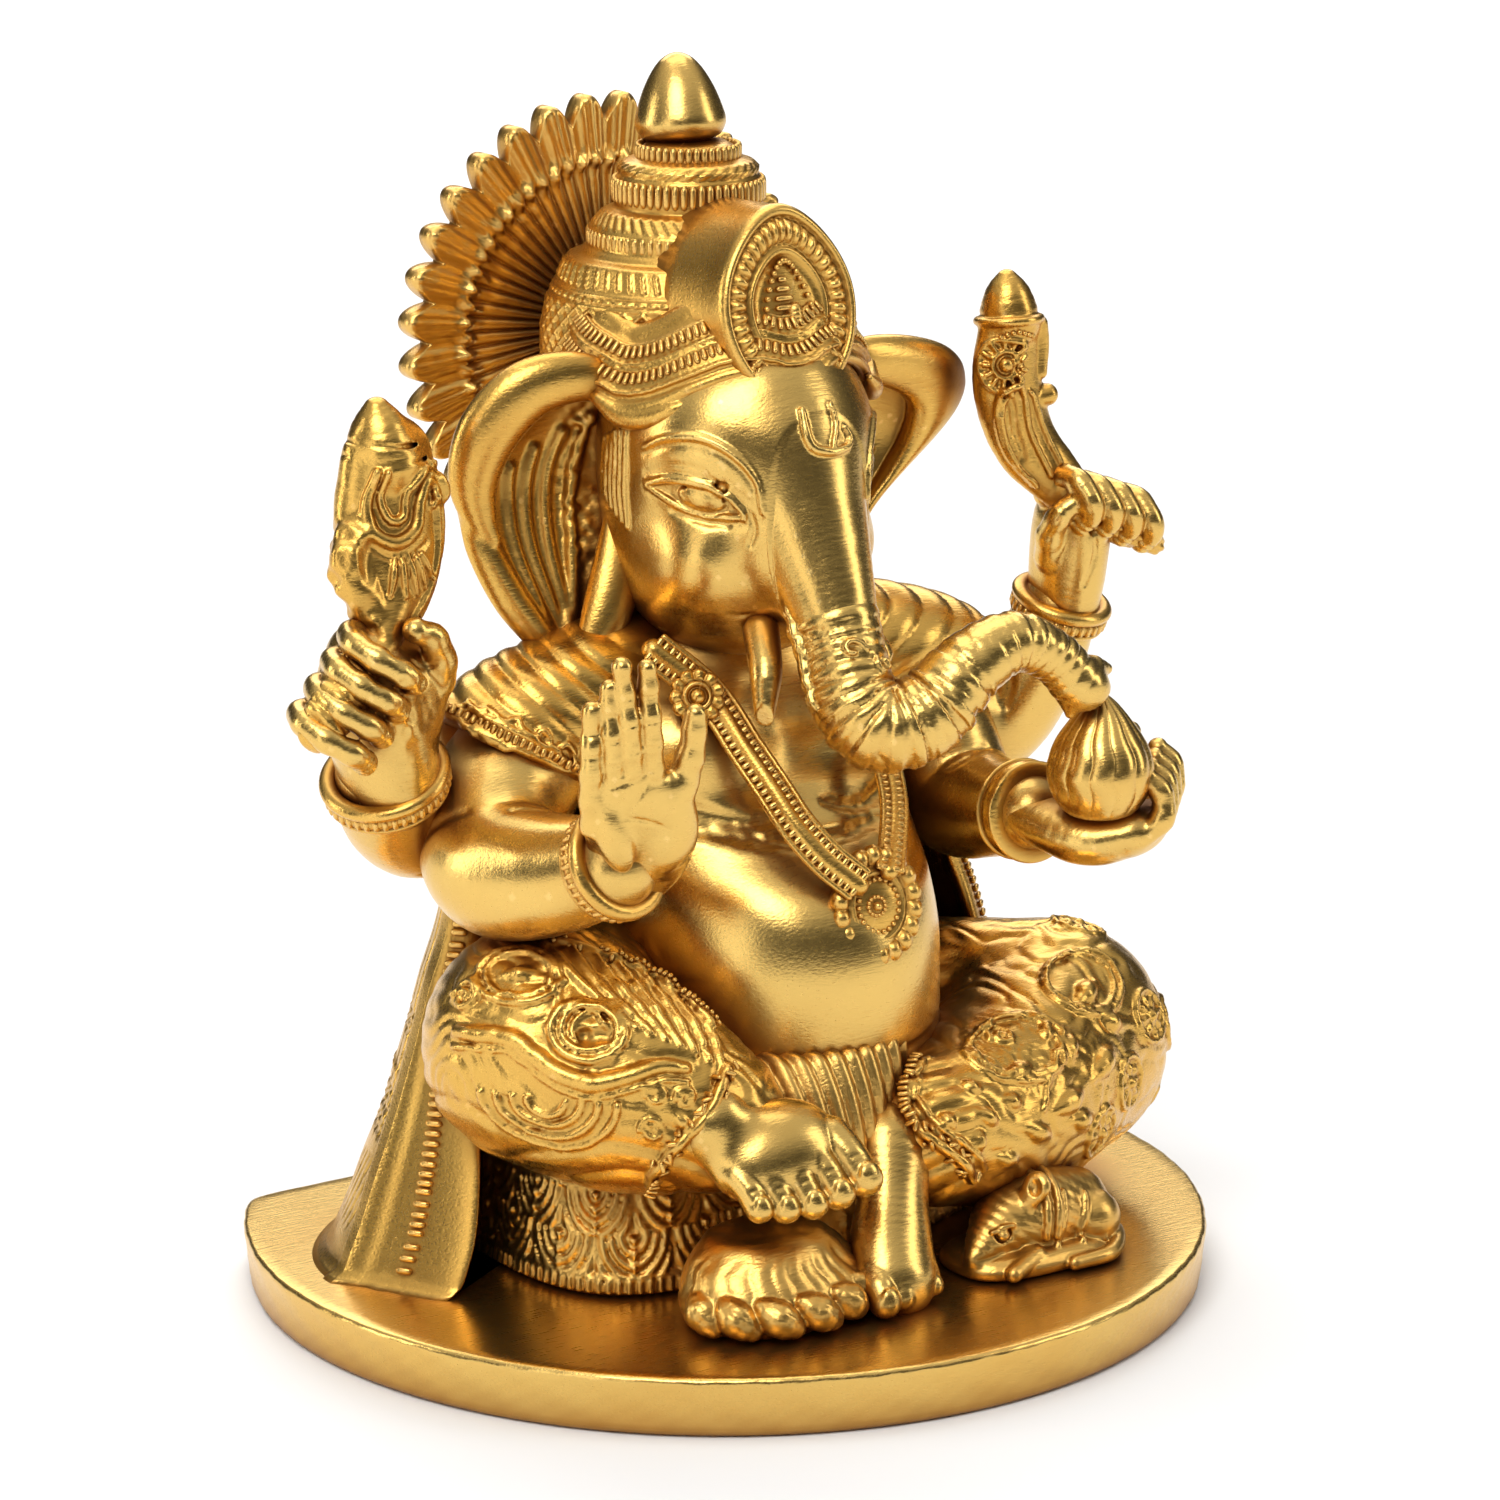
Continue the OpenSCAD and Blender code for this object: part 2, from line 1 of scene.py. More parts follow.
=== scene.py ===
"""Seated deity statuette in polished brass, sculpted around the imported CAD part."""
import math

import bpy
import numpy as np
import openvdb as vdb
from mathutils import Matrix, Vector


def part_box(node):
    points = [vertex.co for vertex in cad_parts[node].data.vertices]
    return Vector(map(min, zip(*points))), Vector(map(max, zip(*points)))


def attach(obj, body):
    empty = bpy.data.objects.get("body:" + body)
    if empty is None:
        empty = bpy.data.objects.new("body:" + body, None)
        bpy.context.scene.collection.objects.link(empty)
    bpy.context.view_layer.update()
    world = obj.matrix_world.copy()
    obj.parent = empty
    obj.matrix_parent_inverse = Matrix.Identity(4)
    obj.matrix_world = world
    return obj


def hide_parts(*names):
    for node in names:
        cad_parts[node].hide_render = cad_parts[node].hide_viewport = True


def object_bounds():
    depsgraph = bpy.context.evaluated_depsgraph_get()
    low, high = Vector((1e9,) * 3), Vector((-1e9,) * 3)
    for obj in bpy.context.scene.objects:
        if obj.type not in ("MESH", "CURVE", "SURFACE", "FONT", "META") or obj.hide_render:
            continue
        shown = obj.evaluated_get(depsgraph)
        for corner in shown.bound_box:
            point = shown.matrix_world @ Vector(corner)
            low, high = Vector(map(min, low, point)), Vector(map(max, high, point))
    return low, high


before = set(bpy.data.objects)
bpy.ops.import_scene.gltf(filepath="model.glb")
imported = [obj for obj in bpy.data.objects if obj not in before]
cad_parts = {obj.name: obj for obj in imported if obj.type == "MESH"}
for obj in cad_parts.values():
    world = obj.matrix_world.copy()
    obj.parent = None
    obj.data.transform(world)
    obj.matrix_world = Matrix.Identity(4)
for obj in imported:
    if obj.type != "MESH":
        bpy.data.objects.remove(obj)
size_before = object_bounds()

# ---------------------------------------------------------------- driving sizes
DRAWN_HEIGHT = 204.22                      # height at which the statuette is drawn, in mm
MM = (size_before[1].z - size_before[0].z) / DRAWN_HEIGHT   # metres per drawn millimetre
FINE, MEDIUM, COARSE = 0.36, 0.46, 0.6     # grid pitches of the clay, in mm
FOOT_LEVEL = 10.2                          # pieces on the base end here, just above its top
TAU = 2 * math.pi


def mm(node):
    """A CAD node's lowest and highest corners in drawn millimetres"""
    lo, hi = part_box(node)
    return np.array(lo) / MM, np.array(hi) / MM


# ---------------------------------------------------------------- small maths
def unit(v):
    v = np.asarray(v, float)
    return v / max(np.linalg.norm(v), 1e-9)


def spread(points, step=1.3):
    """Catmull-Rom curve through rows of any width, about one row every step mm"""
    p = np.asarray(points, float)
    if len(p) == 2:
        p = np.array([p[0], (p[0] + p[1]) / 2, p[1]])
    q = np.vstack([2 * p[0] - p[1], p, 2 * p[-1] - p[-2]])
    rows = []
    for i in range(1, len(q) - 2):
        a, b, c, d = q[i - 1:i + 3]
        n = max(1, int(round(np.linalg.norm((c - b)[:3]) / step)))
        t = (np.arange(n) / n)[:, None]
        rows.append(0.5 * (2 * b + (c - a) * t + (2 * a - 5 * b + 4 * c - d) * t * t
                           + (3 * b - a - 3 * c + d) * t ** 3))
    rows.append(p[-1:])
    return np.vstack(rows)


def even(points, gap):
    """Rows along a curve at an even distance"""
    p = spread(points, min(gap / 3, 0.8))
    s = np.concatenate([[0], np.cumsum(np.linalg.norm(np.diff(p[:, :3], axis=0), axis=1))])
    n = max(2, int(round(s[-1] / gap)) + 1)
    t = np.linspace(0, s[-1], n)
    return np.stack([np.interp(t, s, p[:, i]) for i in range(p.shape[1])], 1)


def melt(a, b, k):
    """Smooth union of two distances"""
    h = np.maximum(k - np.abs(a - b), 0) / k
    return np.minimum(a, b) - h * h * k * 0.25


def ramp(x, a, b):
    t = np.clip((x - a) / (b - a), 0, 1)
    return t * t * (3 - 2 * t)


def ridge(x, pitch, sharp=1.0):
    """Rounded ridges with narrow grooves, 0 to 1"""
    return np.abs(np.sin(np.pi * x / pitch)) ** sharp


def bump(x, centre, width):
    """One round bead across x"""
    return np.sqrt(np.maximum(1 - ((x - centre) / width) ** 2, 0))


def hashed(i, j, k, seed):
    n = (i * 73856093) ^ (j * 19349663) ^ (k * 83492791) ^ (seed * 2654435)
    n = (n ^ (n >> 13)) * 1274126177
    return ((n ^ (n >> 16)) & 0xffff).astype(np.float32) / 32767.5 - 1


def noise(p, size, seed=1):
    """Smooth value noise at points p (N, 3)"""
    q = p / size
    i = np.floor(q).astype(np.int64)
    t = q - i
    t = t * t * (3 - 2 * t)
    out = 0
    for dx in (0, 1):
        for dy in (0, 1):
            for dz in (0, 1):
                w = (np.where(dx, t[:, 0], 1 - t[:, 0]) * np.where(dy, t[:, 1], 1 - t[:, 1])
                     * np.where(dz, t[:, 2], 1 - t[:, 2]))
                out = out + w * hashed(i[:, 0] + dx, i[:, 1] + dy, i[:, 2] + dz, seed)
    return out


# ---------------------------------------------------------------- clay: a distance grid
class Clay:
    """A sculpt kept as signed distances on a grid, in drawn millimetres"""

    def __init__(self, lo, hi, pitch):
        self.h = pitch
        a = np.floor(np.asarray(lo, float) / pitch).astype(int) - 4
        b = np.ceil(np.asarray(hi, float) / pitch).astype(int) + 4
        self.lo = a * pitch
        self.f = np.full(b - a + 1, 9.0, np.float32)

    def window(self, lo, hi, inside=None):
        """Slices and open coordinate arrays of the part of the grid between two corners"""
        sl, axes = [], []
        for i in range(3):
            a = int(math.floor((lo[i] - self.lo[i]) / self.h))
            b = int(math.ceil((hi[i] - self.lo[i]) / self.h)) + 1
            lim = (0, self.f.shape[i]) if inside is None else (inside[i].start, inside[i].stop)
            a, b = max(a, lim[0]), min(b, lim[1])
            b = max(a, b)
            sl.append(slice(a, b))
            shape = [1, 1, 1]
            shape[i] = b - a
            axes.append((np.arange(a, b) * self.h + self.lo[i]).astype(np.float32).reshape(shape))
        return tuple(sl), axes

    def join(self, sl, d, k, cut):
        old = self.f[sl]
        self.f[sl] = -melt(-old, d, k) if cut else melt(old, d, k)

    def put(self, shape, k=0.8, cut=False):
        lo, hi, fn = shape
        sl, (x, y, z) = self.window(np.asarray(lo) - k - 1.5, np.asarray(hi) + k + 1.5)
        if self.f[sl].size:
            self.join(sl, fn(x, y, z), k, cut)
        return self

    def path(self, points, k=0.8, cut=False, flat=1.0, side=(1, 0, 0), relief=None, step=1.3):
        """A round-ended limb through rows [x, y, z, radius]; relief(s, P) raises its skin"""
        p = spread(points, step)
        rmax = p[:, 3].max()
        m = rmax + k + 2
        sl, (x, y, z) = self.window(p[:, :3].min(0) - m, p[:, :3].max(0) + m)
        if not self.f[sl].size:
            return self
        d = np.full(self.f[sl].shape, 9.0, np.float32)
        s = np.zeros(d.shape, np.float32) if relief else None
        run = 0.0
        for a, b in zip(p[:-1], p[1:]):
            m = max(a[3], b[3]) + k + 2
            sub, (x, y, z) = self.window(np.minimum(a, b)[:3] - m, np.maximum(a, b)[:3] + m, sl)
            ba = (b - a)[:3]
            l2 = max(float(ba @ ba), 1e-9)
            qx, qy, qz = x - a[0], y - a[1], z - a[2]
            t = np.clip((qx * ba[0] + qy * ba[1] + qz * ba[2]) / l2, 0, 1)
            qx, qy, qz = qx - t * ba[0], qy - t * ba[1], qz - t * ba[2]
            if flat != 1:
                n = unit(np.asarray(side, float) - ba * (np.asarray(side) @ ba) / l2)
                c = (qx * n[0] + qy * n[1] + qz * n[2]) * (1 / flat - 1)
                qx, qy, qz = qx + c * n[0], qy + c * n[1], qz + c * n[2]
            e = (np.sqrt(qx * qx + qy * qy + qz * qz) - (a[3] + (b[3] - a[3]) * t)) * (0.5 + flat / 2)
            here = tuple(slice(u.start - v.start, u.stop - v.start) for u, v in zip(sub, sl))
            near = e < d[here]
            d[here] = np.where(near, e, d[here])
            if relief:
                s[here] = np.where(near, run + t * math.sqrt(l2), s[here])
            run += math.sqrt(l2)
        if relief:
            i = np.nonzero(np.abs(d) < 2.2)
            at = np.stack([self.lo[c] + (i[c] + sl[c].start) * self.h for c in range(3)], 1)
            d[i] -= relief(s[i], at)
        self.join(sl, d, k, cut)
        return self

    def skin(self, band=1.6):
        """Indices and positions of the grid points close to the surface"""
        i = np.nonzero(np.abs(self.f) < band)
        return i, np.stack([self.lo[c] + i[c] * self.h for c in range(3)], 1)

    def carve(self, fn, band=1.6):
        """Raise the skin by fn(P) millimetres"""
        i, at = self.skin(band)
        self.f[i] -= fn(at).astype(np.float32)
        return self

    def slope(self, p):
        """Distance and outward direction at points"""
        q = (np.asarray(p) - self.lo) / self.h
        i = np.clip(np.round(q).astype(int), 1, np.array(self.f.shape) - 2)
        f, (a, b, c) = self.f, i.T
        g = np.stack([f[a + 1, b, c] - f[a - 1, b, c], f[a, b + 1, c] - f[a, b - 1, c],
                      f[a, b, c + 1] - f[a, b, c - 1]], 1).astype(float)
        g /= np.maximum(np.linalg.norm(g, axis=1), 1e-6)[:, None]
        return f[a, b, c] + ((q - i) * g).sum(1) * self.h, g

    def snap(self, rows, lift=0.0):
        """Rows moved onto the surface, lifted a little along it"""
        rows = np.array(rows, float)
        p = rows[:, :3]
        for _ in range(8):
            d, g = self.slope(p)
            p = p - g * np.clip(d, -1.2, 1.2)[:, None]
        d, g = self.slope(p)
        rows[:, :3] = p + g * lift
        return rows, g

    def front(self, rows):
        """Rows whose y is moved to the foremost skin at their x and z"""
        rows = np.array(rows, float)
        a = np.clip(np.round((rows[:, 0] - self.lo[0]) / self.h).astype(int), 0, self.f.shape[0] - 1)
        c = np.clip(np.round((rows[:, 2] - self.lo[2]) / self.h).astype(int), 0, self.f.shape[2] - 1)
        column = self.f[a, :, c] < 0
        first = np.argmax(column, axis=1)
        rows[:, 1] = np.where(column.any(1), self.lo[1] + first * self.h, rows[:, 1])
        return rows

    def cord(self, points, k=0.35, lift=0.0, gap=0.9, front=False, cut=False):
        """A raised (or cut) line lying on the skin; rows are [x, y, z, radius]"""
        rows = spread(points, gap)
        if front:
            rows = self.front(rows)
        rows, _ = self.snap(rows, lift)
        return self.path(rows, k=k, cut=cut, step=gap)

    def mesh(self):
        g = vdb.FloatGrid(background=3.0)
        f = self.f / self.h
        for c in range(3):                      # nothing may leave the grid
            edge = [slice(None)] * 3
            for e in (0, -1):
                edge[c] = e
                f[tuple(edge)] = np.maximum(f[tuple(edge)], 0.6)
        g.copyFromArray(np.ascontiguousarray(np.clip(f, -3, 3)), tolerance=0.0)
        p, q = g.convertToQuads(isovalue=0.0)
        return p.astype(np.float64) * self.h + self.lo, q.astype(np.int64)


def blob(c, r, turn=None):
    """An ellipsoid"""
    c, r = np.asarray(c, float), np.asarray(r, float)
    m = np.eye(3) if turn is None else np.asarray(turn)
    e = r.max()

    def fn(x, y, z):
        q = [x - c[0], y - c[1], z - c[2]]
        if turn is not None:
            q = [q[0] * m[0, i] + q[1] * m[1, i] + q[2] * m[2, i] for i in range(3)]
        a = np.sqrt((q[0] / r[0]) ** 2 + (q[1] / r[1]) ** 2 + (q[2] / r[2]) ** 2)
        b = np.sqrt((q[0] / r[0] ** 2) ** 2 + (q[1] / r[1] ** 2) ** 2 + (q[2] / r[2] ** 2) ** 2)
        return a * (a - 1) / np.maximum(b, 1e-6)
    return c - e, c + e, fn


def stack(levels, power=2.0, rounding=1.5):
    """A body through rows [z, centre x, centre y, half width, half depth]"""
    v = spread([[0, 0, r[0], *r] for r in levels], 1.5)[:, 3:]
    v[:, 0] = np.maximum.accumulate(v[:, 0] + np.arange(len(v)) * 1e-6)

    def fn(x, y, z):
        row = [np.interp(z.ravel(), v[:, 0], v[:, i]).astype(np.float32).reshape(z.shape)
               for i in range(1, 5)]
        u, w = np.abs(x - row[0]) / row[2], np.abs(y - row[1]) / row[3]
        if power == 2:
            q = np.sqrt(u * u + w * w)
        else:
            q = (u ** power + w ** power + 1e-9) ** (1 / power)
        d = (q - 1) * np.minimum(row[2], row[3])
        ends = np.maximum(v[0, 0] - z, z - v[-1, 0])
        return -melt(-d, -ends, rounding)
    lo = [(v[:, 1] - v[:, 3]).min(), (v[:, 2] - v[:, 4]).min(), v[0, 0]]
    hi = [(v[:, 1] + v[:, 3]).max(), (v[:, 2] + v[:, 4]).max(), v[-1, 0]]
    return np.array(lo), np.array(hi), fn


def below(lo, hi, level):
    """Everything under a level, for cutting a flat underside"""
    return lo - 6, np.array([hi[0] + 6, hi[1] + 6, level]), lambda x, y, z: z - level + 0 * x + 0 * y


def mirror(rows):
    """The same rows on the other side of the figure"""
    return [[-r[0], *r[1:]] for r in rows]


def sides(rows):
    return (rows, mirror(rows))


# ---------------------------------------------------------------- meshes
class Piece:
    """Collects surfaces in drawn millimetres and becomes one Blender object"""

    def __init__(self, name, nodes, slot):
        self.name, self.nodes, self.slot = name, nodes, slot
        self.verts, self.faces, self.count = [], [], 0

    def add(self, verts, faces):
        verts = np.asarray(verts, float).reshape(-1, 3)
        self.verts.append(verts)
        for f in faces if isinstance(faces, list) else [faces]:
            self.faces.append(np.asarray(f, np.int64) + self.count)
        self.count += len(verts)
        return self

    def clay(self, clay):
        return self.add(*clay.mesh())

    def finish(self):
        verts = np.vstack(self.verts) * MM
        me = bpy.data.meshes.new(self.name + "_brass")
        me.vertices.add(len(verts))
        me.vertices.foreach_set("co", verts.astype(np.float32).ravel())
        loops = np.concatenate([f.ravel() for f in self.faces])
        sizes = np.concatenate([np.full(len(f), f.shape[1]) for f in self.faces])
        me.loops.add(len(loops))
        me.loops.foreach_set("vertex_index", loops.astype(np.int32))
        me.polygons.add(len(sizes))
        me.polygons.foreach_set("loop_start", (np.cumsum(sizes) - sizes).astype(np.int32))
        me.polygons.foreach_set("use_smooth", np.ones(len(sizes), bool))
        me.update(calc_edges=True)
        me.validate()
        ob = bpy.data.objects.new(self.name + "_brass", me)
        bpy.context.scene.collection.objects.link(ob)
        me.materials.append(FINISH[self.slot])
        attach(ob, "root")
        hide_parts(*self.nodes)
        return ob


def sheet(points, wrap=False):
    """Quads over a grid of points (rows, columns, 3)"""
    p = np.asarray(points, float)
    m, n = p.shape[:2]
    i = np.arange(m - 1)[:, None]
    j = np.arange(n if wrap else n - 1)[None, :]
    k = (j + 1) % n
    q = np.stack(np.broadcast_arrays(i * n + j, i * n + k, (i + 1) * n + k, (i + 1) * n + j), -1)
    return p.reshape(-1, 3), q.reshape(-1, 4)


def outward(v, faces):
    """The same faces, turned so that their normals point out of the solid"""
    volume = 0
    for f in faces:
        for i in range(1, f.shape[1] - 1):
            volume += (v[f[:, 0]] * np.cross(v[f[:, i]], v[f[:, i + 1]])).sum()
    return v, faces if volume > 0 else [f[:, ::-1] for f in faces]


def closed(rings):
    """A solid through rings of points, shut by a fan at either end"""
    p = np.asarray(rings, float)
    m, n = p.shape[:2]
    v, q = sheet(p, wrap=True)
    v = np.vstack([v, p[0].mean(0), p[-1].mean(0)])
    j = np.arange(n)
    k = (j + 1) % n
    low = np.stack([k, j, np.full(n, m * n)], 1)
    top = np.stack([(m - 1) * n + j, (m - 1) * n + k, np.full(n, m * n + 1)], 1)
    return outward(v, [q, low, top])


def frame_of(d, hint=(0, 0, 1)):
    """Two directions across d"""
    d = unit(d)
    a = np.cross(d, hint)
    if np.linalg.norm(a) < 1e-3:
        a = np.cross(d, (1, 0, 0))
    a = unit(a)
    return a, np.cross(a, d)


def bead(c, r, n=(0, 0, 1), sides_=8, rings=4, tall=1.0):
    """A low round bead, a little taller or flatter along n"""
    n = unit(n)
    a, b = frame_of(n)
    t = np.linspace(0.12, np.pi - 0.12, rings + 2)[:, None, None]
    u = (np.arange(sides_) / sides_ * TAU)[None, :, None]
    p = np.asarray(c) + r * (np.sin(t) * (np.cos(u) * a + np.sin(u) * b) - np.cos(t) * n * tall)
    return closed(p)


def bar(a, b, r, n, tall=0.8, sides_=6):
    """A short round-ended bar from a to b, standing up along n"""
    a, b = np.asarray(a, float), np.asarray(b, float)
    d = unit(b - a)
    n = unit(np.asarray(n) - d * (np.asarray(n) @ d))
    w = np.cross(d, n)
    u = (np.arange(sides_) / sides_ * TAU)[:, None]
    cs, sn = np.cos(u), np.sin(u)
    rings = []
    for t, s in ((0.0, 0.35), (0.08, 0.8), (0.22, 1.0), (0.78, 1.0), (0.92, 0.8), (1.0, 0.35)):
        rings.append(a + (b - a) * t + r * s * (cs * w + sn * n * tall))
    return closed(np.array(rings))


def beads(piece, clay, points, r, gap=None, lift=0.25, front=False, tall=1.0):
    """A row of beads lying on the clay"""
    rows = even(points, gap or r * 2.05)
    if front:
        rows = clay.front(rows)
    rows, g = clay.snap(rows, r * lift)
    for p, n in zip(rows, g):
        piece.add(*bead(p[:3], r, n, tall=tall))


def ladder(piece, clay, points, width, r=0.5, gap=1.3, lift=0.2, across=None, front=False):
    """A row of short bars lying across a curve on the clay"""
    rows = even(points, gap)
    if front:
        rows = clay.front(rows)
    rows, g = clay.snap(rows, r * lift)
    along = np.gradient(rows[:, :3], axis=0)
    for p, n, t in zip(rows, g, along):
        w = unit(np.cross(n, t)) if across is None else unit(across)
        piece.add(*bar(p[:3] - w * width / 2, p[:3] + w * width / 2, r, n))


def rope(piece, clay, points, r=.85, front=False):
    """A thick cord on the clay, wound round with rings"""
    clay.cord([[*q[:3], r] for q in points], k=.3, lift=r * .35, front=front)
    return lambda: ladder(piece, clay, points, r * 2.1, r=.42, gap=.98, lift=r * .55 / .42, front=front)


def leaf(clay, a, b, w):
    """A raised almond leaf with a midrib line"""
    a, b = np.asarray(a, float), np.asarray(b, float)
    clay.cord([[*a, .3], [*((a * 2 + b) / 3), w * .85], [*((a + b) / 2), w], [*b, .3]], k=.3, lift=-w * .25)
    clay.cord([[*((a * 3 + b) / 4), .22], [*((a + b * 3) / 4), .22]], k=.25, lift=w * .2 + .2, cut=True)


def hoop(clay, at, n, wide, tall, size, start=0.0, span=TAU, lift=.3):
    """A raised oval line, or an arc of one, round a place on the clay"""
    x = unit(np.cross((0, 0, 1), n))
    y = np.cross(unit(n), x)
    clay.cord([[*(np.asarray(at) + wide * math.cos(t) * x + tall * math.sin(t) * y), size]
               for t in np.linspace(start, start + span, 15)], k=.35, lift=lift)


def coil(clay, at, n, r, size, turns=1.6, k=.3, lift=.25):
    """A spiral line on the clay"""
    x, y = frame_of(n)
    pts = []
    for t in np.linspace(0, 1, 14):
        angle = TAU * turns * t
        way = math.cos(angle) * x + math.sin(angle) * y
        pts.append([*(np.asarray(at) + r * (1 - .8 * t) * way), size])
    clay.cord(pts, k=k, lift=lift)


def lathe(profile, turns=96, axis=(0, 0), lean=None, relief=None, seam=0.0):
    """Rings around a vertical axis through rows [radius, z]; relief(angle, z index) changes radius"""
    prof = np.asarray(profile, float)
    a = np.arange(turns) / turns * TAU + seam
    r = prof[:, :1] + (relief(a[None, :], prof[:, 1:2]) if relief else 0 * a[None, :])
    p = np.stack([r * np.cos(a), r * np.sin(a), np.broadcast_to(prof[:, 1:2], r.shape)], -1)
    if lean is not None:
        p = p @ np.asarray(lean).T
    return p + np.array([axis[0], axis[1], axis[2] if len(axis) > 2 else 0])


def turned(degrees, axis):
    return np.array(Matrix.Rotation(math.radians(degrees), 3, axis))


# ---------------------------------------------------------------- brass
def link(tree, a, b):
    tree.links.new(a, b)


def brass(name, bright, warm, deep, rough, grain, patina_and_shade_amount, tint=0.35):
    """Cast brass: warm tints, dark amber in the hollows (the patina the brass has there, with painted shade
    on top), worn bright edges
    """
    mat = bpy.data.materials.new(name)
    mat.use_nodes = True
    tree = mat.node_tree
    shader = tree.nodes["Principled BSDF"]
    shader.inputs["Metallic"].default_value = 1.0

    def give(socket, value):
        """A socket takes another node's output as a link, and a colour or a number as its own value"""
        if isinstance(value, bpy.types.NodeSocket):
            link(tree, value, socket)
        else:
            socket.default_value = (*value, 1) if isinstance(value, tuple) and len(value) == 3 else value

    def node(kind, **values):
        made = tree.nodes.new("ShaderNode" + kind)
        for key, value in values.items():
            give(made.inputs[key.replace("_", " ")], value)
        return made

    def texture(scale, detail, at):
        return node("TexNoise", Scale=scale, Detail=detail, Vector=at).outputs["Fac"]

    def remap(value, low, high, top):
        return node("MapRange", Value=value, From_Min=low, From_Max=high, To_Max=top).outputs["Result"]

    def maths(operation, *values):
        made = node("Math")
        made.operation = operation
        for socket, value in zip(made.inputs, values):
            give(socket, value)
        return made.outputs[0]

    def mixed(factor, a, b):
        made = node("Mix", Factor=factor)
        made.data_type = "RGBA"
        give(made.inputs[6], a)
        give(made.inputs[7], b)
        return made.outputs[2]

    at = node("TexCoord").outputs["Object"]
    turn = node("Mapping", Vector=at)
    turn.inputs["Rotation"].default_value = (0.5, 0.3, 0.8)
    turn.inputs["Scale"].default_value = (260, 2600, 2600)
    cloud, fine = texture(45, 5, at), texture(900, 4, at)
    brushed = texture(1.0, 3, turn.outputs["Vector"])
    # Hollows turn dark amber: patina that the brass has there, plus painted shade for the dimmer,
    # interreflected light inside them, found by ambient occlusion
    shade = node("AmbientOcclusion", Distance=0.009)
    shade.samples = 6
    hollow_patina_and_shade = remap(shade.outputs["AO"], 0.9, 0.25, patina_and_shade_amount)
    worn = remap(node("NewGeometry").outputs["Pointiness"], 0.52, 0.6, 1.0)

    pale = tuple(min(1.0, c * 1.12 + 0.05) for c in bright)
    colour = mixed(remap(cloud, 0.4, 0.75, tint), bright, warm)
    # patina with painted shade: the hollows take the deep colour
    colour = mixed(hollow_patina_and_shade, colour, deep)
    give(shader.inputs["Base Color"], mixed(maths("MULTIPLY", worn, 0.6), colour, pale))
    duller = maths("MULTIPLY_ADD", hollow_patina_and_shade, 0.22, rough - 0.05)
    give(shader.inputs["Roughness"], maths("MULTIPLY_ADD", brushed, 0.1, duller))
    dent = node("Bump", Strength=grain, Distance=0.00012, Height=maths("MULTIPLY_ADD", fine, 0.5, brushed))
    give(shader.inputs["Normal"], dent.outputs["Normal"])
    return mat


# The third colour of each finish is the hollows' dark amber: patina with painted shade
FINISH = {
    "polished_brass": brass("polished brass", (0.78, 0.51, 0.145), (0.69, 0.36, 0.07),
                            (0.26, 0.085, 0.013), 0.26, 0.30, 0.9),
    "relief_brass": brass("relief brass", (0.74, 0.44, 0.10), (0.64, 0.30, 0.05),
                          (0.22, 0.07, 0.01), 0.28, 0.45, 1.0),
    "antiqued_brass": brass("antiqued brass", (0.76, 0.46, 0.12), (0.66, 0.32, 0.055),
                            (0.19, 0.06, 0.01), 0.31, 0.55, 0.75),
}


# ---------------------------------------------------------------- head and trunk
FACE_X = -2.0                               # the face's middle plane: the head turns a little to its right
HEAD_LEVELS = [(109, -1, -3, 8, 7), (113, -1.5, -3, 14.5, 13), (119, -2, -2, 18.8, 18),
               (126, -2, -1, 20.5, 20.5), (134, -2, 0, 21, 22), (142, -2, 1, 20.8, 22.3),
               (150, -1.5, 3, 20.5, 21.5), (157, -1, 8, 18.5, 19), (160, 0, 11, 14, 13)]
BRIDGE = [[-1, -10, 150, 12.4], [-1, -15.5, 142, 11.6], [-.9, -20.3, 133, 10.2], [-.8, -24.8, 125.5, 8.5],
          [-.9, -28.2, 119.6, 7.3]]
TRUNK_PATH = [[-.8, -25, 125, 6.6], [-.9, -28.5, 119, 7.3], [-1, -31.4, 113.6, 7.0],
              [-1.5, -35.5, 106.5, 7.2], [1.5, -39, 102.5, 7.3], [8.5, -41.5, 104.5, 6.9],
              [15.5, -42.5, 111, 5.9], [23.5, -43.5, 114.5, 5], [31, -44, 111.5, 4.4],
              [36, -44.5, 106.5, 4.3]]


def on_side(rows, side):
    """Rows drawn for the right of the face, or mirrored across its middle plane"""
    return rows if side < 0 else [[2 * FACE_X - r[0], *r[1:]] for r in rows]


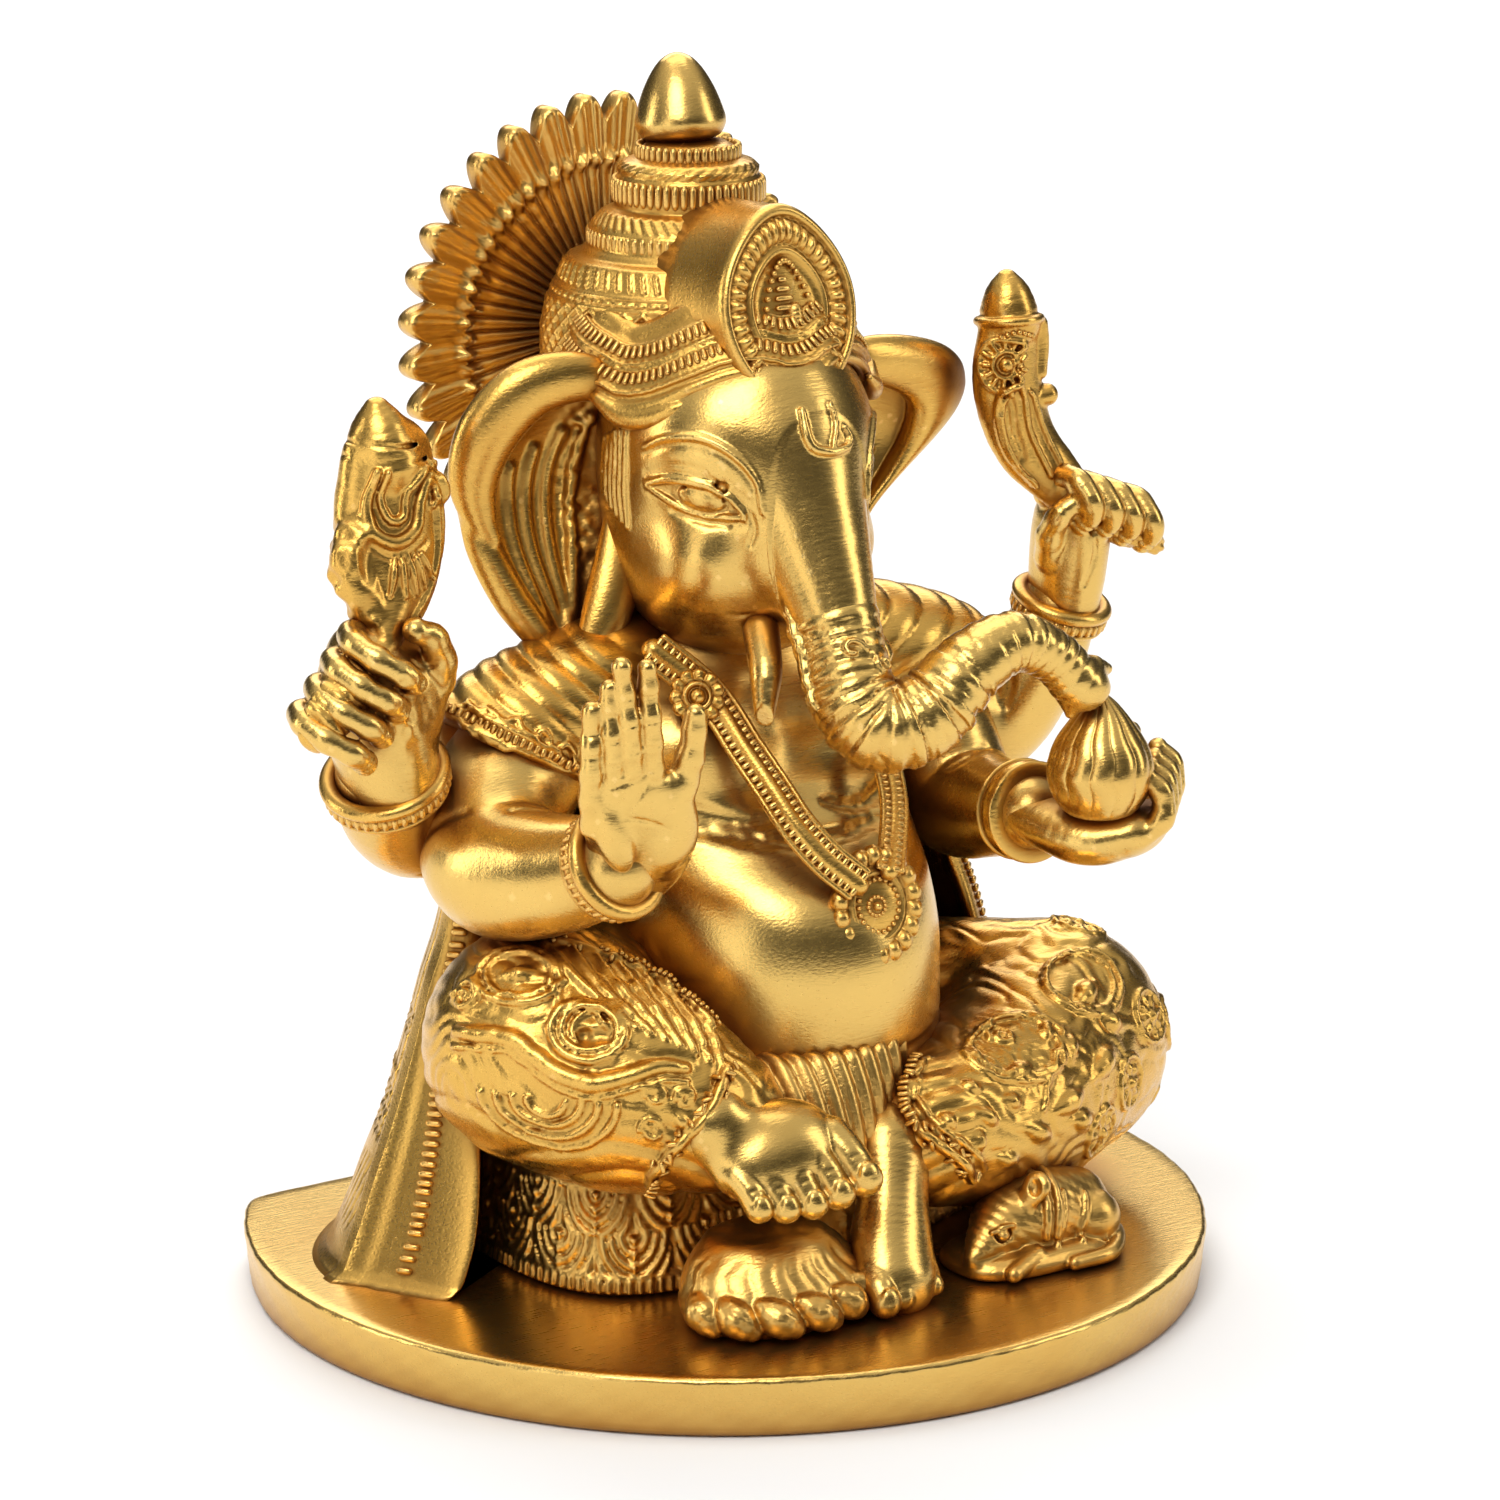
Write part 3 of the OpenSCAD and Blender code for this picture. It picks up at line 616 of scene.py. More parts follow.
def eye(clay, side):
    """Almond eye under a heavy lid, thin double brow and creases below"""
    def s(rows):
        return on_side(rows, side)
    clay.cord(s([[-20.6, -8, 139.8, 1.2], [-19, -11.5, 139.4, 2.6], [-16, -15, 138.4, 3.3],
                 [-13, -17.5, 137.2, 2.6], [-10.8, -19.5, 136.2, 1.1]]), k=2.2, lift=2.0, cut=True)
    along = unit((8.5, -10, -2.3) if side < 0 else (-8.5, -10, -2.3))
    out = unit(np.cross(along, (0, 0, 1)) * -side)
    turn = np.stack([along, out, np.cross(along, out)], 1)
    ball = np.array(s([[-16.0, -14.6, 138.3, 0]]))
    ball, g = clay.snap(ball, 0.0)
    at = ball[0, :3] - g[0] * 1.0
    clay.put(blob(at, (5.3, 3.0, 3.0), turn), k=0.25)
    upper = [[-21.2, -7, 139.8, .5], [-19.4, -11, 141.7, .8], [-16.1, -14.8, 141.9, .95],
             [-12.6, -18, 139.9, .8], [-10.0, -20, 136.2, .5]]
    lower = [[-21.2, -7, 139.4, .4], [-19.6, -11.3, 136.8, .6], [-17.0, -14.8, 135.4, .7],
             [-13.4, -18, 134.8, .6], [-10.2, -20, 135.6, .45]]
    for row in (upper, lower):
        clay.cord(s(row), k=0.5, lift=0.3)
    outline = [[*(at + along * 4.6 * math.cos(u) + turn[:, 2] * 2.55 * math.sin(u) + out * 2.0), .42]
               for u in np.linspace(0, TAU, 21)]
    clay.cord(outline, k=.3, lift=.1, cut=True)
    clay.cord(s([[x, y, z + 1.9, .4] for x, y, z, _ in upper[:4]]), k=0.5, lift=0.3, cut=True)
    clay.cord(s([[x, y, z - 1.5, .42] for x, y, z, _ in lower[1:4]]), k=0.5, lift=0.25, cut=True)
    brow = [[-21.4, -7, 145.4, .4], [-20, -11, 147.2, .5], [-16.8, -15.5, 147.6, .6],
            [-13.4, -19, 145.4, .6], [-10.2, -21, 141.4, .5], [-8.8, -22, 136.5, .35]]
    clay.cord(s(brow), k=.6, lift=.2)
    clay.cord(s([[x + .2, y, z - 1.2, .36] for x, y, z, _ in brow[:5]]), k=.4, lift=.25, cut=True)
    clay.cord(s([[-9.6, -20.5, 136.4, .4], [-9.4, -21, 133.6, .5], [-10.4, -20.5, 131.2, .4]]),
              k=0.5, lift=0.25, cut=True)


def face(clay, side):
    """Brow, cheek, mouth corner and temple hair on one side"""
    def s(rows):
        return on_side(rows, side)
    x = s([[-7.2]])[0][0]
    clay.put(blob((x, -8.0, 146.0), (14, 13.4, 13.6)), k=7)
    x = s([[-13.4]])[0][0]
    clay.put(blob((x, -11.5, 127.0), (7.6, 7.6, 7.6)), k=5)
    clay.cord(s([[-12.8, -16, 119.4, .35], [-11, -17.5, 118.4, .5], [-9.0, -19, 119.2, .4]]),
              k=0.4, lift=0.25, cut=True)
    for i in range(6):                              # hair hanging in strands over the temple
        y = -2.4 + 1.55 * i
        rows = [[-23.4, y + .5 * math.sin(i), 147.6 - .5 * i, .5], [-23.4, y, 142.5, .62],
                [-23.4, y + .45, 137.0, .62], [-23.4, y + .1, 131.5 + .8 * i, .4]]
        clay.cord(s(rows), k=0.35, lift=0.2)


def forehead_mark(clay):
    """Small raised trident between the brows"""
    cup = [[-3.9, 151.4, .55], [-3.7, 148, .8], [-3.0, 145.4, .75], [-.9, 144.1, .7], [2.0, 144.7, .6],
           [3.1, 146.4, .5], [2.6, 147.8, .4]]
    stem = [[1.1, 152.0, .35], [1.1, 148.6, .5], [-.2, 145.2, .5]]
    for rows in (cup, stem):
        clay.cord([[x, -23, z, r] for x, z, r in rows], k=0.35, lift=0.4)


def head():
    lo, hi = mm("head")
    clay = Clay(lo - (4, 16, 4), hi + 3, FINE)
    clay.put(stack(HEAD_LEVELS))
    for side in (-1, 1):
        face(clay, side)
    clay.path(BRIDGE, k=7)
    for side in (-1, 1):
        eye(clay, side)
    forehead_mark(clay)
    clay.carve(lambda p: 0.05 * noise(p, 6, 3) + 0.03 * noise(p, 2.4, 4), 1.0)
    Piece("head", ["head"], "polished_brass").clay(clay).finish()


def trunk_folds(s, p):
    """Grooves cut across the trunk, 2.3 mm apart, deeper from 22 mm along it"""
    deep = 0.42 + 0.5 * ramp(s, 14, 22)
    ring = ridge(s + .5 * noise(p, 5, 7), 2.3, .5)
    back = ramp(p[:, 2] + .35 * p[:, 0], 113.5, 116.5)                    # the inner curve stays smooth
    return deep * (ring - .8) * ramp(s, 5.5, 7) * (1 - back * ramp(s, 26, 34) * 0.6)


def trunk():
    lo, hi = mm("trunk")
    clay = Clay(lo - 3, hi + 3, FINE)
    clay.path(TRUNK_PATH, relief=trunk_folds)
    for rows in sides([[-6.4, -26.5, 121, .55], [-7.2, -29.5, 116, .8], [-7.7, -32, 111, .8],
                       [-8.0, -35, 106.5, .5]]):
        clay.cord(rows, k=0.35, lift=0.3)                                 # folded rim beside the mouth
        clay.cord([[x * 1.08, y + 1.7, z, r * .8] for x, y, z, r in rows], k=.35, lift=.2)
    end = np.array([37.4, -44.8, 105.4])
    clay.put(blob(end + (-.6, 0, .4), (5.4, 4.6, 4.0), turned(35, "Y")), k=1.6)     # flared lip
    clay.path([[*(end + (2.0, 0, 3.2)), 1.8], [*(end + (4.6, .2, 2.4)), 1.0]], k=1.2)
    clay.path([[*(end + (-2.6, 0, -1.6)), 1.8], [*(end + (-2.6, .2, -4.0)), 1.0]], k=1.2)
    clay.put(blob(end + (1.6, -.6, -1.6), (3.3, 2.8, 2.7), turned(35, "Y")), k=0.7, cut=True)
    for turn in (0.0, 2.4):                                               # raised scrolls near the top
        c = np.array([-3.4 + 2.2 * turn, -35, 115.6 - 1.1 * turn])
        pts = []
        for t in np.linspace(0, .85, 9):
            angle = 5.5 * t + turn
            pts.append([*(c + (2.2 * (1 - t) * math.cos(angle), 0, 1.9 * (1 - t) * math.sin(angle))), .42])
        clay.cord(pts, k=.3, lift=0.3, front=True)
    clay.carve(lambda p: 0.05 * noise(p, 4, 5), 1.0)
    Piece("trunk", ["trunk"], "polished_brass").clay(clay).finish()


def tusk(name, side, length):
    lo, hi = mm(name)
    root = np.array([side * 10.8, -24.0, 110.6])
    way = np.array([side * 2.0, -2.6, -7.2]) * length
    clay = Clay(lo - 2, hi + 2, 0.3)
    clay.path([[*(root - (side * 2.5, -5, -5)), 3], [*root, 2.7], [*(root + way * .5), 2.2],
               [*(root + way), 1.5]])
    n = unit((side * 0.7, -0.7, -0.35))
    c = root + way * 1.02
    clay.put((c - 6, c + 6, lambda x, y, z: -((x - c[0]) * n[0] + (y - c[1]) * n[1] + (z - c[2]) * n[2])),
             k=0.3, cut=True)                                             # sawn tip
    Piece(name, [name], "polished_brass").clay(clay).finish()


def tusks():
    tusk("right_tusk", -1, 1.0)
    tusk("left_tusk", 1, 0.5)


# ---------------------------------------------------------------- ears
EAR_ROWS = [[103, -28, -30.5, 4, 0], [106, -27, -32, 4.5, 0], [112, -25, -36, 5.5, .1],
            [119, -22, -41, 7, .3], [127, -20, -45, 9, .6], [135, -18, -47, 11, 1],
            [143, -17, -45.5, 11, 1], [150, -18, -40, 9, .7], [155, -22, -33, 6, .3]]


def ear_clay(broad):
    """A concave ear, drawn on the right side; broad widens its outer half"""
    rows = spread([[0, 0, r[0], *r] for r in EAR_ROWS], 1.2)[:, 3:]
    z0, xin, xout, yc = rows[:, 0], rows[:, 1], rows[:, 2] - broad * rows[:, 4], rows[:, 3]
    lo = np.array([xout.min() - 4, -4, 100])
    hi = np.array([-14, 20, 162])
    clay = Clay(lo, hi, FINE)

    def plate(x, y, z):
        a, b, c = (np.interp(z.ravel(), z0, v).astype(np.float32).reshape(z.shape) for v in (xin, xout, yc))
        t = np.clip((x - a) / (b - a), 0, 1)
        mid = c + 2.4 * np.maximum(np.sin(np.pi * np.clip(t * 1.05, 0, 1)), 0) ** 1.5
        edge = np.maximum(b + 2 - x, x - a - 1.5)
        ends = np.maximum(z0[0] - z, z - z0[-1])
        return -melt(1.5 - np.abs(y - mid), -np.maximum(edge, ends), 1.4)
    clay.put((lo, hi, plate))
    for i in range(4):                                                    # long folds inside the ear
        t = 0.2 + 0.17 * i
        pts = []
        for z in (148 - 2.5 * i, 138, 128, 118, 110):
            a, b, c = (float(np.interp(z, z0, v)) for v in (xin, xout, yc))
            u = 0.5 + (t - 0.5) * (0.4 + 0.6 * (z - 103) / 44)
            pts.append([a + (b - a) * u + .7 * math.sin(z / 6 + i), c, z, 1.05 - .12 * (i % 2)])
        clay.cord(pts, k=1.0, lift=0.15, front=True)

    def rough(p):
        inner = ramp(p[:, 0], -29, -25) * ramp(p[:, 2], 118, 124)
        return inner * .38 * noise(p, 1.3, 9) + .05 * noise(p, 4, 9)
    clay.carve(rough, 1.2)
    b = broad
    clay.path([[-19.5, 3, 151.6, 2.4], [-27.5, 3.4, 155.6, 3.9], [-36 - .5 * b, 6, 154.2, 4.9],
               [-42 - .8 * b, 8.6, 147.8, 5.1], [-44.3 - b, 10, 140, 4.2], [-43.6 - .9 * b, 9.4, 133.6, 2.7],
               [-41.8 - .8 * b, 8.2, 129.8, 1.2]], k=.4, flat=.66, side=(.3, .95, 0), step=.8)
    clay.path([[-44.2 - .8 * b, 11, 134, 2.2], [-43 - .6 * b, 9.4, 128, 2.7],
               [-39.2 - .4 * b, 7.8, 120, 2.9], [-34.8 - .2 * b, 6.2, 113.5, 2.5], [-31.2, 4.8, 108, 1.7]],
              k=.8, flat=.66, side=(.3, .95, 0), step=.8)
    clay.path([[-20.4, 5.4, 131.5, 1.8], [-21.4, 3.4, 124.5, 3.9], [-24.2, 1.8, 117.5, 4.2],
               [-27.8, .9, 111.6, 2.9], [-30.6, .6, 107.2, 1.1]], k=.5, flat=.66, side=(.3, .95, 0), step=.8)
    return clay


def right_ear():
    clay = ear_clay(0)
    Piece("right_ear", ["right_ear"], "relief_brass").clay(clay).finish()


def left_ear():
    clay = ear_clay(10)
    v, q = clay.mesh()
    v = (v * (-1, 1, 1) - (22, 0, 150)) @ turned(12, "Y").T + (22, 2, 148)
    pull = .42 + .68 * ramp(v[:, 2], 122, 150) + .06 * ramp(v[:, 2], 146, 154)      # the lobe draws in below
    v[:, 0] = 21 + (v[:, 0] - 21) * np.where(v[:, 0] > 21, pull, 1)
    Piece("left_ear", ["left_ear"], "relief_brass").add(v, q[:, ::-1]).finish()


# ---------------------------------------------------------------- crown, plaque, finial, halo
CROWN_AXIS = (0, 14.5)
CROWN_TIERS = [[0, .97], [2.5, 1], [9, 1], [14, .955], [16.5, .91], [20.6, .83], [21.2, .745], [22, .72],
               [22.4, .7], [25.2, .685], [25.8, .665], [28, .58], [28.6, .505], [29.6, .51], [33.4, .495],
               [34, .475], [35, .48], [36, .44], [36.6, .35], [38, .335], [39, .26]]
RIM = [[-25.2, 12, 155.5], [-26.6, 6, 154], [-26, 1, 152.8], [-24.2, -3, 151.6],
       [-21.2, -7.6, 152.6], [-17, -12, 155.2], [-11.6, -15.8, 157.6],
       [-7, -17.8, 157.6], [-3, -19.4, 156.6], [1, -19.3, 157.0], [5, -18, 158.4], [10, -15.8, 158.2],
       [15, -12.6, 156.2], [19.4, -8, 153.2], [22.4, -3, 152.2], [24.4, 1.5, 152.6],
       [25.2, 7, 154]]


def crown_radius(z):
    return 24 * np.interp(z - 151, [t[0] for t in CROWN_TIERS], [t[1] for t in CROWN_TIERS])


def crown_relief(a, z):
    """Lozenges low down, a row of dashes, upright strokes, slanted ridges on the tiers above"""
    s, up = a * 23, z - 151

    def thin(x, pitch):
        return np.maximum(1 - ridge(x, pitch, 1.0) * 1.7, 0)
    net = np.maximum(thin(s + up * 1.05, 3.3), thin(s - up * 1.05, 3.3))
    net = .62 * net * ramp(up, 2.6, 3.0) * ramp(up, 14.4, 14.0)
    dash = .5 * ridge(s, 2.2, .6) * ramp(up, 15.0, 15.2) * ramp(up, 16.0, 15.8)
    line = .34 * (bump(up, 14.6, .4) + bump(up, 16.4, .4))
    stroke = .55 * thin(s + .3 * up, 2.5) * ramp(up, 17.0, 17.6) * ramp(up, 20.4, 19.8)
    slant = .5 * (ridge(a * 15 + up * .9, 2.0, .7) - .5) * ramp(up, 25.8, 26.1) * ramp(up, 28, 27.8)
    twist = .3 * (ridge(a * 11 - up * 1.6, 2.2, .8) - .5) * ramp(up, 34, 34.2) * ramp(up, 35.9, 35.7)
    return net + dash + line + stroke + slant + twist


def crown():
    piece = Piece("crown", ["crown"], "relief_brass")
    prof = [[1.0, 148.5], [20, 148.6], [22.6, 149.4]]
    z = np.concatenate([np.arange(151, 190, 0.25), [190.0]])
    prof += [[float(crown_radius(v)), float(v)] for v in z] + [[2.0, 190.2]]
    piece.add(*closed(lathe(prof, 480, CROWN_AXIS, relief=crown_relief)))
    x0, y0 = CROWN_AXIS

    def collar(low, top, r, size, pitch):
        """A ring of upright bars"""
        count = int(TAU * r / pitch)
        for i in range(count):
            n = np.array([math.cos(TAU * i / count), math.sin(TAU * i / count), 0])
            c = np.array([x0, y0, 0]) + n * r
            piece.add(*bar(c + (0, 0, low), c + (0, 0, top), size, n, tall=1.1))
    collar(187.2, 189.9, 8.2, .62, 1.25)
    collar(180.4, 184.4, 12.1, .66, 1.4)
    collar(173.4, 176.2, 16.2, .66, 1.4)
    clay = Clay((-30, -24, 144), (29, 12, 172), FINE)
    axis = np.array([x0, y0])

    def moved(inward, up, r):
        rows = []
        for x, y, z in RIM:
            d = unit(axis - (x, y))
            rows.append([x + d[0] * inward, y + d[1] * inward, z + up, r])
        return rows
    clay.path(moved(2.6, 2.0, 3.1), k=.8)
    clay.path(moved(5.0, 6.0, 3.4), k=1.2)
    clay.path(moved(7.5, 9.5, 3.0), k=1.2)
    clay.cord(moved(.4, .2, 1.15), k=.4, lift=.3)
    rows = moved(.8, 3.9, 0), moved(2.6, 8.0, 0)
    for row in rows:
        for dz in (-1.75, 1.75):
            clay.cord([[x, y, z + dz, .38] for x, y, z, _ in row], k=.3, lift=.25)
    lock = [[-26.4, .6, 152.4, 1.2], [-24.2, -2.4, 150.2, 2.1], [-22.2, -6, 150.0, 2.0],
            [-19.9, -10, 151.4, 1.5], [-17.2, -12.8, 153.2, .7]]    # smooth hair under the rim
    for hair in sides(lock):
        clay.path(hair, k=.3, step=.8)
    piece.clay(clay)
    for row in rows:
        ladder(piece, clay, row, 2.2, r=.5, gap=1.25, lift=.35)
    piece.finish()


PLAQUE_TURN = turned(78, "X")
PLAQUE_AT = np.array([-.8, -10.2, 166.0])


def crown_plaque():
    """Drop-shaped plaque: smooth rim, radiating ridges, a pointed leaf of beads and scrolls at its foot"""
    piece = Piece("crown_plaque", ["crown_plaque"], "relief_brass")
    around = 320
    a = np.arange(around) / around * TAU
    tip = 1 + .06 * np.maximum(np.sin(a), 0) ** 4
    wide = 11.8 - 1.6 * np.maximum(np.sin(a), 0) ** 2

    def outline(f, lift, ribs=0.0):
        h = lift + ribs * (ridge(a, TAU / 38, .7) - .3)
        return np.stack([wide * f * np.cos(a), 14 * f * np.sin(a) * tip, h], -1)
    prof = [(1.2, -14), (1.1, -7), (1.04, -1), (1.0, 3.0), (1.0, 5.0), (.985, 5.9), (.95, 6.5), (.91, 6.6),
            (.88, 6.2), (.865, 5.6)]
    rings = [outline(f, z) for f, z in prof]
    rings += [outline(f, z, w) for f, z, w in ((.85, 5.5, .3), (.81, 6.0, .9), (.75, 6.2, 1.0),
                                               (.69, 6.1, 1.0), (.64, 5.8, .6), (.62, 5.4, .2))]
    rings += [outline(f, z) for f, z in ((.6, 5.3), (.57, 5.9), (.54, 6.0), (.51, 5.6), (.48, 5.2),
                                         (.4, 5.3), (.2, 5.5), (.03, 5.5))]

    def seat(v):
        return np.asarray(v) * (1.1, 1.12, 1) @ PLAQUE_TURN.T + PLAQUE_AT
    v, f = closed(rings)
    piece.add(seat(v), f)
    n = PLAQUE_TURN @ np.array([0, 0, 1.0])

    def put(x, y, r, h=5.8, tall=1.0):
        piece.add(*bead(seat((x, y, h)), r, n, sides_=10, tall=tall))
    for i in range(30):                                  # pointed leaf of small beads
        t = TAU * i / 30
        upper = max(math.sin(t), 0)
        put(3.9 * math.cos(t) * (1 - .35 * upper), 6.0 * math.sin(t) + .6 * upper, .5)
    for i in range(6):
        w = (.9, 1.4, 1.7, 1.8, 1.6, 1.2)[i]
        y = 4.0 - 1.35 * i
        piece.add(*bar(seat((-w - .5, y, 5.9)), seat((w - .9, y, 5.9)), .5, n))
    for i in range(7):                                   # smooth central drop
        put(.9, -.6 - .6 * i, 1.45 - .12 * i + .15 * math.sin(i), 5.6)
    for side in (-1, 1):                                 # scrolls at the foot
        for c, r0 in ((3.4, 2.3), (6.2, 1.7)):
            for t in np.linspace(0, 1, 22):
                u, r = 4.6 * t * math.pi / 2, r0 * (1 - .75 * t)
                put(side * (c + r * math.cos(u)), -10.2 + .25 * c + r * math.sin(u), .5, 6.2)
    piece.finish()


def finial():
    """Smooth leaning knob on a stub"""
    tilt = turned(-6, "X")
    at = (CROWN_AXIS[0], CROWN_AXIS[1] + 2, 190)
    prof = spread([[5, 0, 0], [6.4, .6, 0], [7.3, 2, 0], [7.5, 3.2, 0], [7.0, 5.2, 0], [5.9, 8.2, 0],
                   [4.4, 11.0, 0], [2.9, 12.9, 0], [1.4, 13.9, 0], [.3, 14.2, 0]], .35)[:, :2]
    piece = Piece("finial", ["finial"], "polished_brass")
    low = [[.3, -.5], [4.2, -.5], [4.8, -.2]]
    piece.add(*closed(lathe(np.vstack([low, prof]), 96, at, lean=tilt)))
    piece.add(*closed(lathe([[.3, -6], [2.4, -6], [2.5, -5.8], [2.5, 2], [.3, 2]], 32, at)))
    piece.finish()


def halo():
    """Round plate of ridged rays, each ending in a pointed petal"""
    lo, hi = mm("halo")
    c, back, depth = (lo + hi) / 2, hi[1], hi[1] - lo[1]
    rays, per = 32, 22
    n = rays * per
    a = np.arange(n) / n * TAU
    u = (np.arange(n) % per) / per * 2 - 1 + 1 / per                # across one ray, -1 to 1
    point = 1 - np.abs(u) ** 2.1
    rim = 34.2 + 4.8 * np.clip(point, 0, 1)
    knot = 28.0                                                     # radius of the ring of knots
    rings = []

    def front(r):
        """Height of the front skin at radius r"""
        fins = np.abs(np.cos(u * np.pi)) ** .6
        inner = (1.25 * fins - .85) * ramp(r, 4, 12)
        petal = 1.2 * (1 - u * u) - .5 + .42 * (np.abs(np.cos(u * np.pi * 2)) ** .6 - .5)
        lump = .9 * np.exp(-((r - knot) / 1.3) ** 2) * (1 + .6 * np.cos(u * np.pi * 2 + 1))
        w = ramp(r, knot - .8, knot + .8)
        return inner * (1 - w) + petal * w + lump
    for r in np.concatenate([np.linspace(.3, 6, 6), np.linspace(6.5, knot, 52)]):
        rings.append(np.stack([r * np.cos(a), front(r), r * np.sin(a)], -1))
    for t in np.linspace(.03, 1, 22):
        r = knot + (rim - knot) * t
        fall = 0.9 * ramp(t, .93, 1.0)
        rings.append(np.stack([r * np.cos(a), front(r) - fall, r * np.sin(a)], -1))
    for t in (.3, .6, 1.0):
        rings.append(np.stack([rim * np.cos(a), np.full(n, -.6 - (depth - 1.1) * t), rim * np.sin(a)], -1))
    for f in (.97, .8, .5, .1):
        rings.append(np.stack([rim * f * np.cos(a), np.full(n, .5 - depth), rim * f * np.sin(a)], -1))
    v = np.array(rings)
    v[..., 1] = lo[1] + .9 - v[..., 1] * .9
    v[..., 0] += c[0]
    v[..., 2] += c[2]
    piece = Piece("halo", ["halo"], "antiqued_brass")
    rough = noise(v.reshape(-1, 3), 1.5, 8).reshape(v.shape[:2])
    away = np.hypot(v[..., 0] - c[0], v[..., 2] - c[2])
    v[..., 1] -= (.07 + .3 * np.exp(-((away - 27) / 3.0) ** 2)) * rough * (v[..., 1] < back - 1)
    piece.add(*closed(v))
    piece.finish()


# ---------------------------------------------------------------- base and seat
BASE_R, BASE_Y, BASE_BACK = 81.5, 4.0, 49.0


def base_ring(inset, z, n=720, rough=0.0):
    """The base's outline, a round plate cut flat at the back, with eased corners"""
    a = np.arange(n) / n * TAU
    flat = (BASE_BACK - inset) / np.maximum(np.sin(a), 1e-3)
    r = ((BASE_R - inset) ** -46.0 + flat ** -46.0) ** (-1 / 46)
    r = r + rough * (np.sin(37 * a + z) * .4 + np.sin(91 * a - 2 * z) * .35 + np.sin(13 * a) * .5)
    return np.stack([r * np.cos(a), BASE_Y + r * np.sin(a), np.full(n, z)], -1)


def slab(lo, hi, ease=0.5):
    """A box with eased upright edges"""
    lo, hi = np.asarray(lo, float), np.asarray(hi, float)
    c = (lo + hi) / 2
    a = (np.arange(32) + .5) / 32 * TAU
    rings = []
    for z, e in ((lo[2], ease), (lo[2] + ease, 0), (hi[2] - ease, 0), (hi[2], ease)):
        half = (hi - lo)[:2] / 2 - e
        k = np.maximum(np.abs(np.cos(a)), np.abs(np.sin(a)))
        rings.append(np.stack([c[0] + half[0] * np.cos(a) / k, c[1] + half[1] * np.sin(a) / k,
                               np.full(32, z)], -1))
    return closed(np.array(rings))


def base_plate():
    lo, hi = mm("base_plate")
    t = hi[2]
    prof = [(79, t - 4), (40, t - 4), (6.2, t - 4), (5.6, t - 4.6), (5.3, .4), (5.0, 0), (1.9, 0),
            (1.3, .35), (1.0, 1.0)]
    prof += [(1 - .9 * k / 8, 1 + (t - 2) * k / 8) for k in range(1, 9)]
    prof += [(.15, t - .55), (.45, t - .15), (1.0, t), (3, t), (7, t), (14, t), (24, t), (40, t), (60, t),
             (79, t)]
    rings = [base_ring(i, z, rough=.12 if i < 1.2 else 0.0) for i, z in prof[:-1]]
    rings[0] = base_ring(46, t - 4)
    rings[-1] = base_ring(46, t)
    piece = Piece("base_plate", ["base_plate"], "polished_brass")
    piece.add(*closed(np.array(rings)))
    reach, half = BASE_R - 5, 2                     # two crossing ribs, 4 mm wide
    piece.add(*slab((-reach, -half, 0), (reach, half, t - 3.5)))
    piece.add(*slab((-half, lo[1] + 5, 0), (half, hi[1] - 5, t - 3.5)))
    piece.finish()


def scales(u, v, wide, tall, pitch=1.9):
    """Overlapping pointed leaves, each a nest of ridges"""
    row = np.floor(v / tall)
    a = ((u / wide + .5 * (row % 2)) % 1 - .5) * wide
    b = v - row * tall
    d = np.sqrt((1.25 * a) ** 2 + b * b) + .25 * np.abs(a)
    nest = ridge(d + .4, pitch, .8)
    rib = bump(a, 0, .45) * .5
    return (nest + rib) * ramp(np.abs(a), wide * .52, wide * .42)


SEAT_LEVELS = [(10, 0, 12, 44, 38), (20, 0, 12, 43, 37), (27, 0, 12, 41.5, 35.5), (30, 0, 12, 39, 33)]


def seat():
    lo, hi = mm("seat")
    clay = Clay(lo - 1, hi + 1, 0.7)
    clay.put(stack(SEAT_LEVELS, 3.2))

    def pattern(p):
        u = np.arctan2(p[:, 1] - 12, p[:, 0]) * 40
        return .5 * (scales(u, p[:, 2] - 10, 9, 6.5) - .5) * ramp(p[:, 2], 28.5, 27)
    clay.carve(pattern)
    Piece("seat", ["seat"], "antiqued_brass").clay(clay).finish()


def seat_cloth():
    lo, hi = mm("seat_cloth")
    clay = Clay(lo - 2, hi + 2, MEDIUM)
    clay.put(stack([(10, -20, 4, 27.5, 32), (18, -20, 4, 26.5, 31), (29, -20, 5, 25, 28)], 3.2))

    corner = (lo - 6, hi + 6, lambda x, y, z: np.maximum(-24 - x, 12 - y) + 0 * z)
    clay.put(corner, k=.3, cut=True)

    def pattern(p):
        u = np.arctan2(p[:, 1] - 4, p[:, 0] + 20) * 30
        nest = .85 * (scales(u + 3, 28 - p[:, 2] + np.sin(u / 9), 12, 7.2, 2.2) - .5)
        trim = .9 * (ridge(u, 1.5, .7) - .1) * ramp(p[:, 2], 10.4, 10.9) * ramp(p[:, 2], 13.4, 12.9)
        body = ramp(p[:, 2], 13.6, 14) * ramp(p[:, 2], 27.4, 26.8)
        return nest * body + trim + .45 * bump(p[:, 2], 13.4, .5) + .3 * bump(p[:, 2], 27.6, .5)
    clay.carve(pattern)
    Piece("seat_cloth", ["seat_cloth"], "antiqued_brass").clay(clay).finish()


# ---------------------------------------------------------------- mantle
CAPE_ROWS = [[10, 74, 44], [11.5, 71.5, 42.5], [15, 69.8, 40.5], [19, 68, 39], [25.5, 65.5, 37.2],
             [36, 61.3, 33.6], [46.5, 57.6, 31.2], [57, 54.3, 29.4], [66, 51, 28], [84, 46.5, 25],
             [96, 40, 22], [105, 28, 17]]


def flap(z):
    """How far the mantle's front border reaches forward at height z"""
    return 2.6 + 15 * float(ramp(z, 74, 12)) ** 1.2


